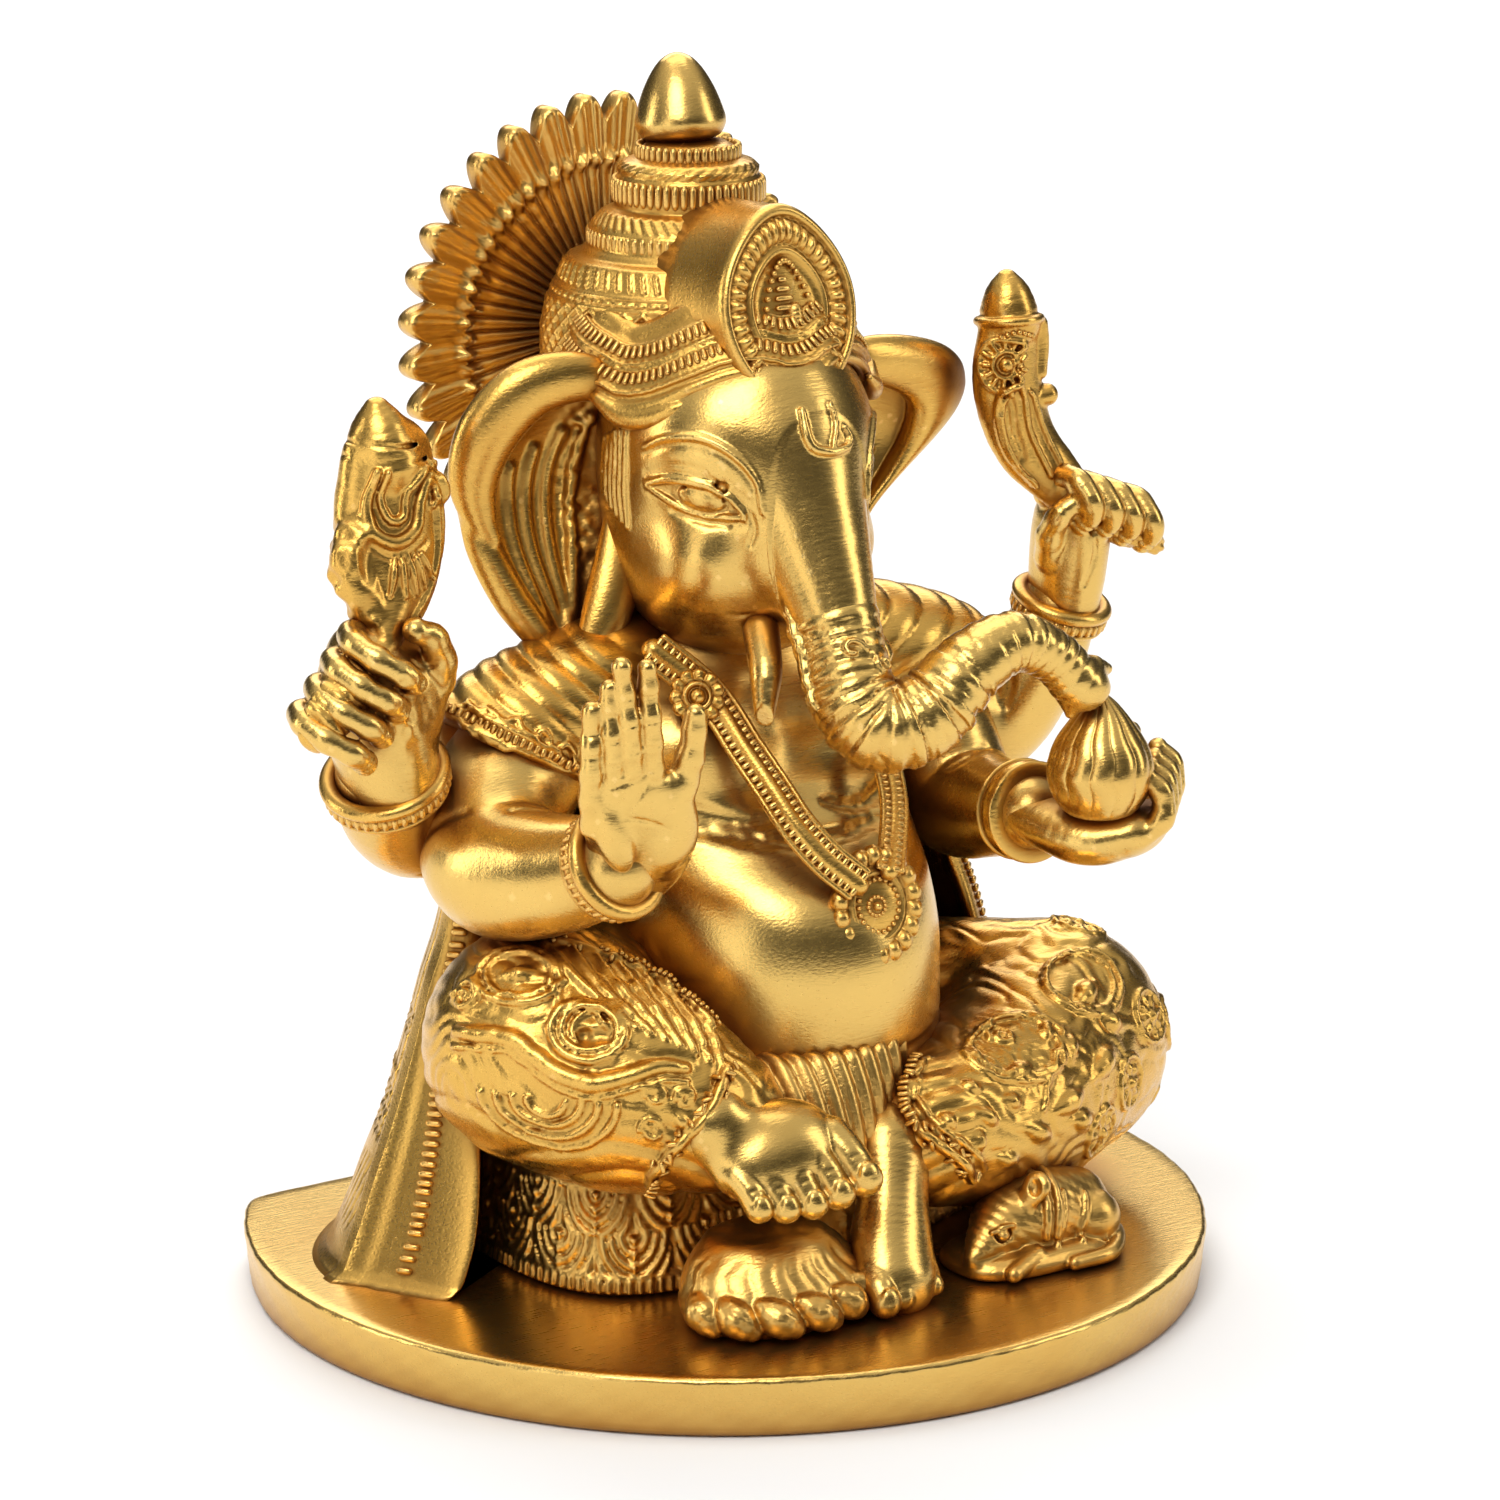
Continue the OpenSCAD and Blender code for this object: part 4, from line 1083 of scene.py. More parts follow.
def cape_relief(s, z):
    """Engraved lines of the mantle at arc length s from its front edge and height z"""
    fold = .8 * (ridge(s + 2, 17, 1.2) - .6) * ramp(s, 8, 16) * ramp(z, 100, 80) * ramp(z, 12, 18)
    line = -.32 * np.maximum(1 - ridge(s, 2.6, 1.0) * 2.2, 0) * ramp(z, 30, 33) * ramp(z, 104, 99)
    bands = 0
    for level in (31, 34.5, 47, 79):
        for d in (0, 1.5, 3.0):
            bands = bands - .34 * bump(z - level - d - 2.0 * np.sin(s / 9), 0, .42)
    dots = .36 * bump(np.hypot(z - 40.6 - 2 * np.sin(s / 9), (s % 2.2) - 1.1), 0, .7)
    hatch = -.4 * np.maximum(1 - ridge(s + .5 * z, 2.0, 1.0) * 2, 0) * ramp(z, 16, 18) * ramp(z, 29, 27.5)
    top = ramp(s, 3.6, 4.4)
    return (fold + line + bands + dots + hatch) * top + .7 * ramp(s, 3.6, 2.6) * ramp(z, 104, 100)


def cape():
    piece = Piece("cape", ["cape"], "relief_brass")
    rows = spread([[0, 0, r[0], *r[1:]] for r in CAPE_ROWS], .6)[:, 2:]
    n = 380
    turn = (1 - np.cos(np.linspace(0, np.pi, n))) / 2
    a = np.pi * (.35 * turn + .65 * np.linspace(0, 1, n))
    y0, wall = 8, 5.0
    rings = []
    for z, w, d in rows:
        x, y = w * np.cos(a), d * np.sin(a)
        step = np.hypot(np.diff(x), np.diff(y))
        s = np.concatenate([[0], np.cumsum(step)])
        s = np.minimum(s, s[-1] - s)
        nx, ny = np.cos(a) / w, np.sin(a) / d
        m = np.hypot(nx, ny)
        h = cape_relief(s, np.full(n, z))
        outer = np.stack([x + nx / m * h, y0 + y + ny / m * h], -1)
        lip = []
        b = np.linspace(0, 1, 31)[1:-1]
        deep = flap(z)
        for side in (-1, 1):
            t = b * np.pi
            swing = .5 * deep * np.sin(t) ** .7                   # the flap turns in towards the leg
            groove = .25 * np.sin(b * 75) * (b < .2) * min(deep / 18, 1)
            across = side * (w - (wall / 2 - .4) * (1 - np.cos(t)) - swing + groove)
            lip.append(np.stack([across, y0 - deep * np.sin(t) ** .8], -1))
        ai = np.linspace(np.pi, 0, 90)
        inner = np.stack([(w - wall) * np.cos(ai), y0 + (d - wall) * np.sin(ai)], -1)
        ring = np.vstack([outer, lip[0], inner, lip[1][::-1]])
        rings.append(np.column_stack([ring, np.full(len(ring), z)]))
    piece.add(*closed(np.array(rings)))
    front = spread([[0, 0, r[0], *r[1:]] for r in CAPE_ROWS], 1.6)[:, 2:]
    for side in (-1, 1):                                  # rope edge down both front borders
        for z, w, d in front[2:-2]:
            c = np.array([side * (w + .2 - .27 * flap(z)), y0 - .5 * flap(z) - .2, z])
            piece.add(*bar(c + (-side * .9, -1.0, 0), c + (side * .9, 1.0, 0), .62, (side, -.6, 0)))
    piece.finish()


# ---------------------------------------------------------------- body
TORSO_LEVELS = [(29, 0, 6, 31, 26), (36, 0, 2, 33, 31), (44, 0, -3, 31, 33), (54, 0, -6, 28.5, 33),
                (64, 0, -7, 27.5, 32.5), (73, 0, -6, 27, 30), (81, 0, -2, 28, 25), (89, 0, 2, 31, 20.5),
                (97, 0, 4, 35, 17), (103, 0, 4, 31, 15), (108, 0, 3, 20, 13), (113, 0, 3, 15, 12)]


def torso():
    lo, hi = mm("torso")
    clay = Clay(lo - 2, hi + 2, COARSE)
    clay.put(stack(TORSO_LEVELS))
    for side in (-1, 1):
        clay.put(blob((side * 12, -9, 95), (12, 8, 8.5)), k=7)
        clay.cord([[side * 23, -13, 88.5, .6], [side * 17, -17, 85.8, 1.3], [side * 10, -21, 84.6, 1.4],
                   [side * 3, -24, 86.0, .8]], k=1.2, lift=.3, front=True, cut=True)
        clay.cord([[side * 27, -20, 50, .6], [side * 15, -34, 46.5, .9], [0, -39, 45.5, .9]],
                  k=1.2, lift=.2, cut=True)
    clay.cord([[-24, -17, 85, .6], [-12, -24, 82.6, 1.1], [0, -28, 81.4, 1.2], [12, -26, 82.4, 1.0]],
              k=2.0, lift=.1, front=True, cut=True)
    clay.carve(lambda p: .08 * noise(p, 9, 5), 1.2)
    Piece("torso", ["torso"], "polished_brass").clay(clay).finish()


SHAWL_SIDE = [[-12, 8, 107, 10], [-26, 4, 104, 11.5], [-40, 4, 97.5, 13.8], [-46, 5, 92, 13.6]]
SHAWL_HEM = [[-60, 8, 107], [-56, 3, 104.6], [-52.5, -1, 102.3], [-46.2, -7.6, 98.4], [-40, -10.5, 94.7],
             [-34, -12, 91.2], [-29, -12.5, 88]]


def shawl():
    lo, hi = mm("shawl")
    clay = Clay(lo - 2, hi + 2, MEDIUM)

    def folds(s, p):
        across = .82 * p[:, 2] - .5 * np.abs(p[:, 0]) - .3 * p[:, 1] + 1.0 * np.sin(p[:, 0] / 6)
        return (.5 + .25 * noise(p, 12, 8)) * (ridge(across, 3.7, .8) - .55) * ramp(np.abs(p[:, 0]), 14, 20)
    for rows in sides(SHAWL_SIDE):
        clay.path(rows, k=2, flat=.95, side=(0, 1, 0), relief=folds)
    clay.path([[-16, 12, 106, 8.5], [0, 17, 108, 9.5], [16, 12, 106, 8.5]], k=2,
              relief=lambda s, p: .5 * (ridge(p[:, 2] + p[:, 1] * .4, 3.4) - .5))
    for side in (-1, 1):                                    # the cloth ends at its hem, above the arm
        clay.put((np.array([-70 if side < 0 else 24, -40, 70]), np.array([-24 if side < 0 else 70, 40, 112]),
                  lambda x, y, z: (z - 90.4 - .61 * (side * x - 34)) / 1.17 + 0 * y), k=.5, cut=True)
    piece = Piece("shawl", ["shawl"], "relief_brass")
    winds = []
    for rows in (SHAWL_HEM, mirror(SHAWL_HEM)[3:]):         # the left hem is drawn without its outer end
        for up, r in ((.5, .55), (3.0, .5)):
            clay.cord([[x, y, z + up, r] for x, y, z in rows], k=.35, lift=.2)
        vine = []
        for i, (x, y, z, _) in enumerate(even([[*r, 0] for r in rows], 1.1)):
            vine.append([x, y, z + 4.6 + .95 * math.sin(i * 1.35), .42])
        clay.cord(vine, k=.3, lift=.2, gap=.7)
        winds.append([[x, y, z + 1.75, 0] for x, y, z in rows])
    clay.carve(lambda p: .08 * noise(p, 3, 5), 1.2)
    piece.clay(clay)
    for rows in winds:
        ladder(piece, clay, rows, 1.7, r=.5, gap=1.25, lift=.4)
    piece.finish()


# ---------------------------------------------------------------- legs
KNEE_R, KNEE_L = [-46, -13, 51.5, 19.5], [54.5, -13, 34, 20.5]
RIGHT_LEG = [[[-12, 10, 46, 14], [-31, 1, 50, 18], KNEE_R],
             [KNEE_R, [-39, -25, 47, 17.5], [-29, -35, 42, 12]]]
LEFT_LEG = [[[16, 12, 38, 16], [36, 3, 36, 18.5], KNEE_L],
            [KNEE_L, [33, -28, 32, 17.5], [12, -38, 32.5, 12]]]


def chased(p, seed, pitch=2.7):
    """Winding chased lines that fill the cloth between its larger ornaments"""
    f = p[:, 2] * .55 + p[:, 0] * .2 + 4.6 * noise(p, 8, seed) + 1.6 * noise(p, 3.6, seed + 1)
    return ridge(f, pitch, .8) - .5


def right_leg():
    """Raised knee covered in cloth with a wide scroll, a leafed medallion and gathered folds"""
    lo, hi = mm("right_leg")
    clay = Clay(lo - 2, hi + 2, MEDIUM)
    for rows in RIGHT_LEG:
        clay.path(rows, k=1.5)

    def swirl(p):
        x, y, z = p.T
        f = z * .95 + .42 * x + .25 * y + 2.4 * np.sin((x - y * .8) / 8.5) + .8 * noise(p, 9, 6)
        low = ramp(z, 50, 44)
        back = ramp(y, -14, -4)
        fill = np.maximum(1 - low - back, 0)
        return (.6 * low + .2 * back) * (ridge(f, 4.2, .9) - .55) + (.12 + .34 * fill) * chased(p, 3)
    clay.carve(swirl)
    shin, facing = np.array([-50.5, -33, 60]), (-.6, -.7, .4)
    for f in (1.0, .72, .46):                               # nested ovals on the shin
        hoop(clay, shin, facing, 6 * f, 5 * f, .6 * f + .12)
    clay.cord([[*(shin + (-1, 0, -1.5)), 1.4], [*(shin + (2.5, -1, -2)), 1.4]], k=.5, lift=.7, cut=True)
    centre, facing = np.array([-55.5, -20.5, 66.5]), (-.6, -.4, .7)
    for f, r in ((1.0, .6), (.78, .45)):                    # medallion on the knee
        hoop(clay, centre, facing, 7 * f, 5.2 * f, r)
    leaf(clay, centre + (2.6, -3, 1.0), centre + (-2.4, 2.4, -1.2), 1.5)
    coil(clay, (-62.6, -15.4, 63), (-.9, -.3, .3), 2.9, .6)
    ribbon_rows = [[-64.9, -16.5, 57.7, 1.0], [-63.9, -20, 58.1, 1.3], [-60.2, -25.2, 58.1, 1.5],
                   [-58.4, -28.5, 56.3, 1.6], [-55.9, -32.1, 53.6, 1.6], [-52.3, -36.2, 52.2, 1.6],
                   [-48.6, -38.9, 53, 1.5], [-42.5, -40.5, 54.2, 1.3], [-38.3, -41.9, 53.6, 1.0]]
    clay.cord(ribbon_rows, k=.5, lift=.2)
    clay.cord([[x, y, z - 2.3, .5] for x, y, z, _ in ribbon_rows], k=.4, lift=.3)
    for i in range(7):                                      # gathered folds running over the thigh
        t = i / 6
        a = np.array([-49.4, -18.5, 70.4]) * (1 - t) + np.array([-30.5, -30, 65.5]) * t
        c = np.array([-48.6, -26.5, 66.2]) * (1 - t) + np.array([-30, -39.6, 59.0]) * t
        e = np.array([-43.8, -36.6, 60.0]) * (1 - t) + np.array([-31.5, -43.6, 53.4]) * t
        clay.cord([[*a, .4], [*c, .75], [*e, .5]], k=.45, lift=.15)
    for f in (1.0, .74, .5, .28):                           # wide arcs below the ribbon
        hoop(clay, (-57, -31, 49), (-.75, -.65, 0), 11.5 * f, 8.5 * f, .62,
             start=math.pi, span=math.pi, lift=.25)
    for c, r in (((-43.7, -41.7, 50.2), 1.9), ((-39.2, -43.2, 49.4), 1.7), ((-44.4, -41.8, 44.8), 2.2)):
        coil(clay, c, (-.3, -.95, .1), r, .42)
    leaf(clay, (-41.2, -43, 47.2), (-38.6, -43.8, 44.2), 1.1)
    piece = Piece("right_leg", ["right_leg"], "relief_brass")
    hem = [[-30.5, -43.6, 53.0], [-32.4, -44, 51.2], [-34.9, -45.2, 48.2], [-37, -44.7, 45.6],
           [-39.9, -43.7, 42.8], [-42.1, -42.9, 40.0], [-43, -40.6, 36.5], [-42.6, -38.6, 33]]
    wind = rope(piece, clay, hem, .95)
    edge = rope(piece, clay, [[-47.4, -19.2, 70.2], [-41.6, -23.4, 68.6], [-35.2, -28, 66.4],
                              [-31.6, -33, 63.2], [-29.6, -38, 58.4]], .6)
    piece.clay(clay)
    wind()
    edge()
    piece.finish()


def rosettes(clay, centres, r):
    """Circles that hold eight leaves, lying on the skin"""
    for c in centres:
        at, g = clay.snap([[*c, 0]])
        n, o = g[0], at[0, :3]
        a, b = frame_of(n)
        loop = [[*(o + r * (math.cos(t) * a + math.sin(t) * b)), .5] for t in np.linspace(0, TAU, 19)]
        clay.cord(loop, k=.4, lift=.25)
        for i in range(8):
            t = TAU * i / 8
            w = math.cos(t) * a + math.sin(t) * b
            clay.cord([[*(o + w * r * .3), .3], [*(o + w * r * .55), .55], [*(o + w * r * .8), .3]],
                      k=.4, lift=.1)
        clay.put(blob(o + n * .2, (1.0, 1.0, 1.0)), k=.5)


def left_leg():
    """Folded leg in patterned cloth: two large rings, leaves and dotted ground"""
    lo, hi = mm("left_leg")
    clay = Clay(lo - 2, hi + 2, MEDIUM)
    for rows in LEFT_LEG:
        clay.path(rows, k=1.5)
    heart, other = np.array([28, -40, 45]), np.array([50, -29, 49.5])

    def ground(p):
        ring = np.minimum(np.abs((p / 1.9 - np.floor(p / 1.9)) - .5).sum(1), 1)
        near = np.maximum(ramp(np.linalg.norm(p - heart, axis=1), 9.5, 8.5),
                          ramp(np.linalg.norm(p - (47, -41, 38), axis=1), 7, 5))
        dots = .16 * near * ramp(np.abs(ring - .62), .22, .08)
        fold = ridge(.8 * p[:, 2] + .55 * p[:, 1] - .18 * p[:, 0] + noise(p, 7, 4), 3.6, .9) - .5
        inner = .7 * fold * ramp(p[:, 0], 17, 12)
        return dots + inner + .42 * chased(p, 5, 2.9) * ramp(p[:, 0], 12, 18) * (1 - .6 * near)
    clay.carve(ground)
    for c, facing, wide in ((heart, (.1, -.75, .65), 10.4), (other, (.3, -.65, .7), 9.4)):
        for f, r in ((1.0, .55), (.84, .42)):
            hoop(clay, c, facing, wide * f, 6.8 * f, r)
    coil(clay, (26.2, -38.6, 46.6), (0, -.8, .6), 2.4, .5)
    clay.cord([[39.0, -38.2, 45.6, .4], [34.6, -42.4, 42.4, .5], [30.9, -45.0, 39.4, .5],
               [28.5, -47.1, 35.4, .4]], k=.35, lift=.3)
    leaves = [((37.2, -36.4, 47.2), (33.4, -41, 44.2), 1.5), ((22, -44.7, 42.4), (30, -43.4, 42.2), 1.5),
              ((19.4, -38.4, 45.9), (18.4, -43.2, 44.2), 1.3),
              ((40.4, -38.6, 44.4), (37.2, -42.6, 40.8), 1.7),
              ((45, -33.8, 47.4), (54.4, -28.6, 49.6), 2.0), ((49.1, -35.4, 45), (55, -34.2, 41.8), 1.9),
              ((51, -37.8, 40.6), (40.8, -43.1, 36.6), 2.3), ((39.6, -43.2, 36), (30, -47.4, 34.6), 2.1),
              ((13.2, -44.6, 43), (17, -46.8, 41), 1.3), ((7.4, -47.4, 39.6), (9.4, -49, 36.2), 1.3),
              ((13.6, -48.2, 38.9), (19, -49, 35.4), 1.6), ((13.7, -49.4, 35.8), (13.4, -50, 31.4), 1.4),
              ((20.1, -47.3, 39.7), (24.6, -47.8, 37.4), 1.4), ((23.4, -48.6, 34), (31.4, -48, 30.6), 1.7),
              ((34.6, -46.6, 32.4), (43, -43.8, 30), 1.8), ((17.4, -50, 30.6), (25, -49.6, 27.6), 1.5)]
    for foot, tip, wide in leaves:
        leaf(clay, foot, tip, wide)
    rosettes(clay, [(63.5, -29.5, 41), (55, -37.5, 33), (68, -20, 36), (46, -42.4, 26.6), (66, -6, 48),
                    (74, -8, 34), (70, -20, 24), (60, -14, 52)], 4.6)
    piece = Piece("left_leg", ["left_leg"], "relief_brass")
    hem = [[9.5, -38, 46], [3.2, -43, 41.6], [3.4, -45.6, 38.2], [4.6, -47.6, 36.1], [7, -49.2, 33.9],
           [10.2, -50, 31], [12.8, -49.4, 27.4]]
    wind = rope(piece, clay, hem, .95)
    clay.cord([[x + 2.6, y, z + .9, .45] for x, y, z in hem], k=.35, lift=.3)
    clay.put(below(lo, hi, FOOT_LEVEL), k=.2, cut=True)
    piece.clay(clay)
    wind()
    piece.finish()


def waist_sash():
    lo, hi = mm("waist_sash")
    clay = Clay(lo - 2, hi + 2, 0.4)
    clay.put(stack([(26.5, -8, -36, 8, 5), (34, -9, -37, 11, 7), (43, -7, -34, 15, 8),
                    (49.5, -4, -31, 15, 8)]))
    clay.carve(lambda p: .9 * (ridge(p[:, 0] + .12 * (p[:, 2] - 30), 3.1, .8) - .5)
               + .25 * (ridge(p[:, 2], 1.6) - .5) * ramp(p[:, 2], 32, 30))
    Piece("waist_sash", ["waist_sash"], "antiqued_brass").clay(clay).finish()


# ---------------------------------------------------------------- feet, rest and mouse
def toe(clay, a, b, ra, rb, nail):
    a, b = np.asarray(a, float), np.asarray(b, float)
    mid = (a + b) / 2 + (0, -.2, .5)
    clay.path([[*a, ra], [*mid, ra * .92], [*b, rb]], k=.35)
    clay.put(blob(b + (0, -.35, .15), (rb * 1.02, rb, rb * .95)), k=.3)
    c = b + unit(nail) * rb * .92
    clay.put(blob(c, (rb * .62, rb * .3, rb * .62), turned(-20, "X")), k=.15)


def right_foot():
    """Foot of the raised leg: five parallel toes pointing down to the right of the picture"""
    lo, hi = mm("right_foot")
    clay = Clay(lo - (6, 6, 3), hi + 4, 0.34)
    wide, down = unit((17.6, -2, 3.7)), unit((3, -5, -6))
    thin = unit(np.cross(wide, down))
    turn = np.stack([wide, unit(np.cross(thin, wide)), thin], 1)
    clay.path([[-37, -36, 45, 6.5], [-33, -41, 43.5, 7]], k=2)
    clay.put(blob((-25.0, -47.4, 38.8), (11.2, 8.4, 6.0), turn), k=3)
    ends = [((-32.6, -49.6, 35.6), (-31.4, -52.6, 32.0), 2.5),
            ((-28.7, -50.6, 36), (-27.2, -53.8, 31.6), 2.65),
            ((-24.4, -51.2, 36.8), (-22.8, -54.8, 31.8), 2.75),
            ((-20.0, -51.4, 37.8), (-18.2, -55.4, 32.8), 2.85),
            ((-15.2, -51.0, 39.0), (-13.2, -55.2, 34.3), 3.3)]
    for a, b, r in ends:
        a, b = np.array(a), np.array(b)
        toe(clay, a - (b - a) * .3, b, r, r * .9, (-.1, -.75, .6))
        c = a + (b - a) * .5 + np.array([-.1, -.75, .6]) * (r + .3)
        clay.cord([[*(c - wide * 1.2), .2], [*c, .26], [*(c + wide * 1.2), .2]], k=.3, lift=.2, cut=True)
    Piece("right_foot", ["right_foot"], "polished_brass").clay(clay).finish()


def left_foot():
    lo, hi = mm("left_foot")
    clay = Clay(lo - 2, hi + 2, 0.34)
    clay.path([[3, -41, 33, 7.5], [0, -45, 27, 6.2], [-2.5, -48, 20, 7.2], [-4, -51, 15, 7.4]], flat=.78,
              side=(0, 1, 0))
    for i in range(4):
        a = np.array([-9, -52, 16]) + i * np.array([3.5, .6, .4])
        b = np.array([-9.5, -56, 12.8]) + i * np.array([3.7, .8, 0])
        toe(clay, a, b, 2.9 - .3 * i, 2.5 - .25 * i, (0, -.8, .7))
    Piece("left_foot", ["left_foot"], "polished_brass").clay(clay).finish()


def foot_rest():
    lo, hi = mm("foot_rest")
    clay = Clay(lo - 2, hi + 2, 0.38)
    clay.put(stack([(10, -23, -44, 15, 11), (15, -23, -44, 16, 12), (20, -23, -43, 14, 10),
                    (24, -23, -42, 10, 8)]))

    def veins(p):
        a = np.arctan2(p[:, 1] + 44, p[:, 0] + 23)
        vein = .3 * (ridge(a * 14 + .8 * np.sin(p[:, 2]), 4.3, .8) - .5)
        return vein * ramp(p[:, 2], 23, 20.5) + .2 * noise(p, 3, 5)
    clay.carve(veins)
    for i in range(7):                                      # petals that curl sideways round its foot
        a = math.radians(192 + 27 * i)
        out = np.array([math.cos(a), math.sin(a), 0])
        along = np.array([-.75 * math.sin(a), .55 * math.cos(a), 0])
        c = np.array([-23, -44.5, 14.2]) + out * (14.6, 11.2, 0)
        rows = [[*(c - along * 3.6 + (0, 0, 1.8)), 1.5], [*(c - along * .6 + out * .8), 3.0],
                [*(c + along * 3.2 + out * .6 - (0, 0, 1.8)), 1.9]]
        clay.path(rows, k=.4)
        for up in (1.1, 2.6):
            line = [[*(np.array(q[:3]) + out * 2 + (0, 0, up)), .34] for q in rows]
            clay.cord(line, k=.3, lift=.2, cut=True)
    clay.put(below(lo, hi, lo[2] + .2), k=.2, cut=True)
    Piece("foot_rest", ["foot_rest"], "antiqued_brass").clay(clay).finish()


def mouse():
    lo, hi = mm("mouse")
    clay = Clay(lo - 2, hi + 2, 0.34)
    clay.put(stack([(10, 26, -46, 14.5, 9), (12, 26, -46, 14.7, 9.2), (14, 26, -46, 13.5, 8)], 3))
    clay.path([[37, -44, 17, 6.2], [28, -45, 17.5, 7.5], [21.5, -46, 17, 5.6]], k=1)
    clay.path([[22, -46, 18, 5], [17, -48, 16, 3.7], [13, -49.5, 13.8, 1.7]], k=1)
    clay.carve(lambda p: .14 * (ridge(p[:, 2] * .8 + p[:, 0] * .55, 1.5, .8) - .5) * ramp(p[:, 2], 14.2, 15))
    for ear in ([[22.6, -49.8, 21.0, 1.6], [24.6, -50.8, 24.4, 2.5]],
                [[22.5, -43, 22.4, 1.7], [24.4, -42, 25.0, 2.5]]):
        clay.path(ear, k=.6, flat=.5, side=(.9, .4, -.3))
        clay.put(blob(np.array(ear[1][:3]) + (-1.0, -.8, .2), (1.0, 1.2, 1.6)), k=.3, cut=True)
    clay.put(blob((17.6, -51.2, 17.5), (1.7, .9, 1.3)), k=.2, cut=True)
    clay.put(blob((17.6, -51.3, 17.4), (1.1, .9, .9)), k=.15)
    clay.cord([[19.6, -51, 18.6, .35], [17.4, -51.7, 19.4, .45], [15.2, -51.3, 18.4, .35]], lift=.3)
    clay.cord([[12.6, -51, 13.9, .35], [15.4, -52, 14.2, .4], [18, -52, 15.4, .3]], lift=.2, cut=True)
    for i, x in enumerate((30, 35, 40)):                    # haunch, belly folds and paws
        clay.cord([[x, -50.4, 22 - i, .5], [x - 1.2, -52.5, 18 - i, .6], [x - 2.4, -52.8, 13.6, .5]],
                  k=.6, lift=.3)
    clay.put(blob((37.5, -48.6, 15.8), (5.2, 4.6, 4.8)), k=.7)
    for i in range(3):
        clay.path([[23.5 - i * .5, -52.5 + i * .5, 13.2, 1.7], [17 + i, -55 + 1.2 * i, 11.9, 1.4]], k=.3)
    clay.path([[42, -43, 13, 1.7], [42.4, -49, 12.6, 1.5], [37, -55, 11.8, 1.4], [29, -55.6, 11.6, 1.2]],
              k=.4)
    for d in (0, 2.2):                                      # garland round its neck
        clay.cord([[25.4 + d, -51.6, 16, .7], [25.8 + d, -51.8, 19.5, .75], [26.6 + d, -49, 23.6, .75],
                   [26.6 + d, -45, 25, .7]], k=.3, lift=.35)
    clay.put(below(lo, hi, FOOT_LEVEL), k=.2, cut=True)
    Piece("mouse", ["mouse"], "antiqued_brass").clay(clay).finish()


# ---------------------------------------------------------------- arms
ARMS = {
    "right_front_arm": [[-36, 4, 97, 11], [-47, 0, 88, 12], [-51.5, -8, 81.5, 11.8], [-50, -20, 82, 10],
                        [-46, -33, 86, 7.6]],
    "left_front_arm": [[36, 4, 97, 10], [40, 1, 88, 10.5], [41, -5, 78.5, 10.3], [40, -16, 78.5, 8.6],
                       [38, -29, 81, 6.6]],
    "right_rear_arm": [[-34.7, 10.4, 96.3, 9.8], [-48, 11, 88, 10.6], [-55.5, 10.5, 85.4, 10],
                       [-61.5, 6.5, 89.5, 9.6], [-66, 1, 96, 8.6]],
    "left_rear_arm": [[34.9, 10.3, 96.4, 9.6], [49, 11, 88, 10.5], [58, 10, 86, 10.3], [64, 6, 94, 8.8],
                      [67, 1, 106, 6.8]],
}
CREASES = {                                     # folds of flesh at the elbows
    "right_front_arm": [[[-59, -10, 92, .4], [-61, -3, 86, .7], [-58, 2, 78, .5]],
                        [[-43, -17, 90, .4], [-47, -18, 92, .6], [-53, -15, 91, .4]]],
    "left_front_arm": [[[34, -12, 86, .4], [38, -13, 88, .6], [43, -11, 87, .4]]],
    "right_rear_arm": [[[-56, 0, 88, .4], [-60, 0, 93, .6], [-60, 3, 97, .4]],
                       [[-52, 1, 84, .4], [-55, 0, 79, .5], [-58, 3, 75, .4]]],
    "left_rear_arm": [[[55, 0, 90, .4], [57, 1, 94, .6], [58, 4, 97, .4]]],
}


def arms():
    for name, limb in ARMS.items():
        lo, hi = mm(name)
        clay = Clay(lo - 3, hi + 3, 0.5)
        clay.path(limb, k=1)
        for rows in CREASES[name]:
            clay.cord(rows, k=1.0, lift=.1, cut=True)
        clay.carve(lambda p: .1 * noise(p, 8, 3) + .04 * noise(p, 3, 4), 1.2)
        Piece(name, [name], "polished_brass").clay(clay).finish()


# ---------------------------------------------------------------- bracelets
WRISTS = {"right_front_bracelet": ([-46, -33, 86], [1.5, -8, 4], 8.0, True),
          "left_front_bracelet": ([38, -29, 81], [-1, -10, 1], 7.0, False),
          "right_rear_bracelet": ([-66.5, 1, 95], [-4, -3, 9], 9.2, True),
          "left_rear_bracelet": ([67, 1, 106], [1, -3, 9], 7.4, True)}


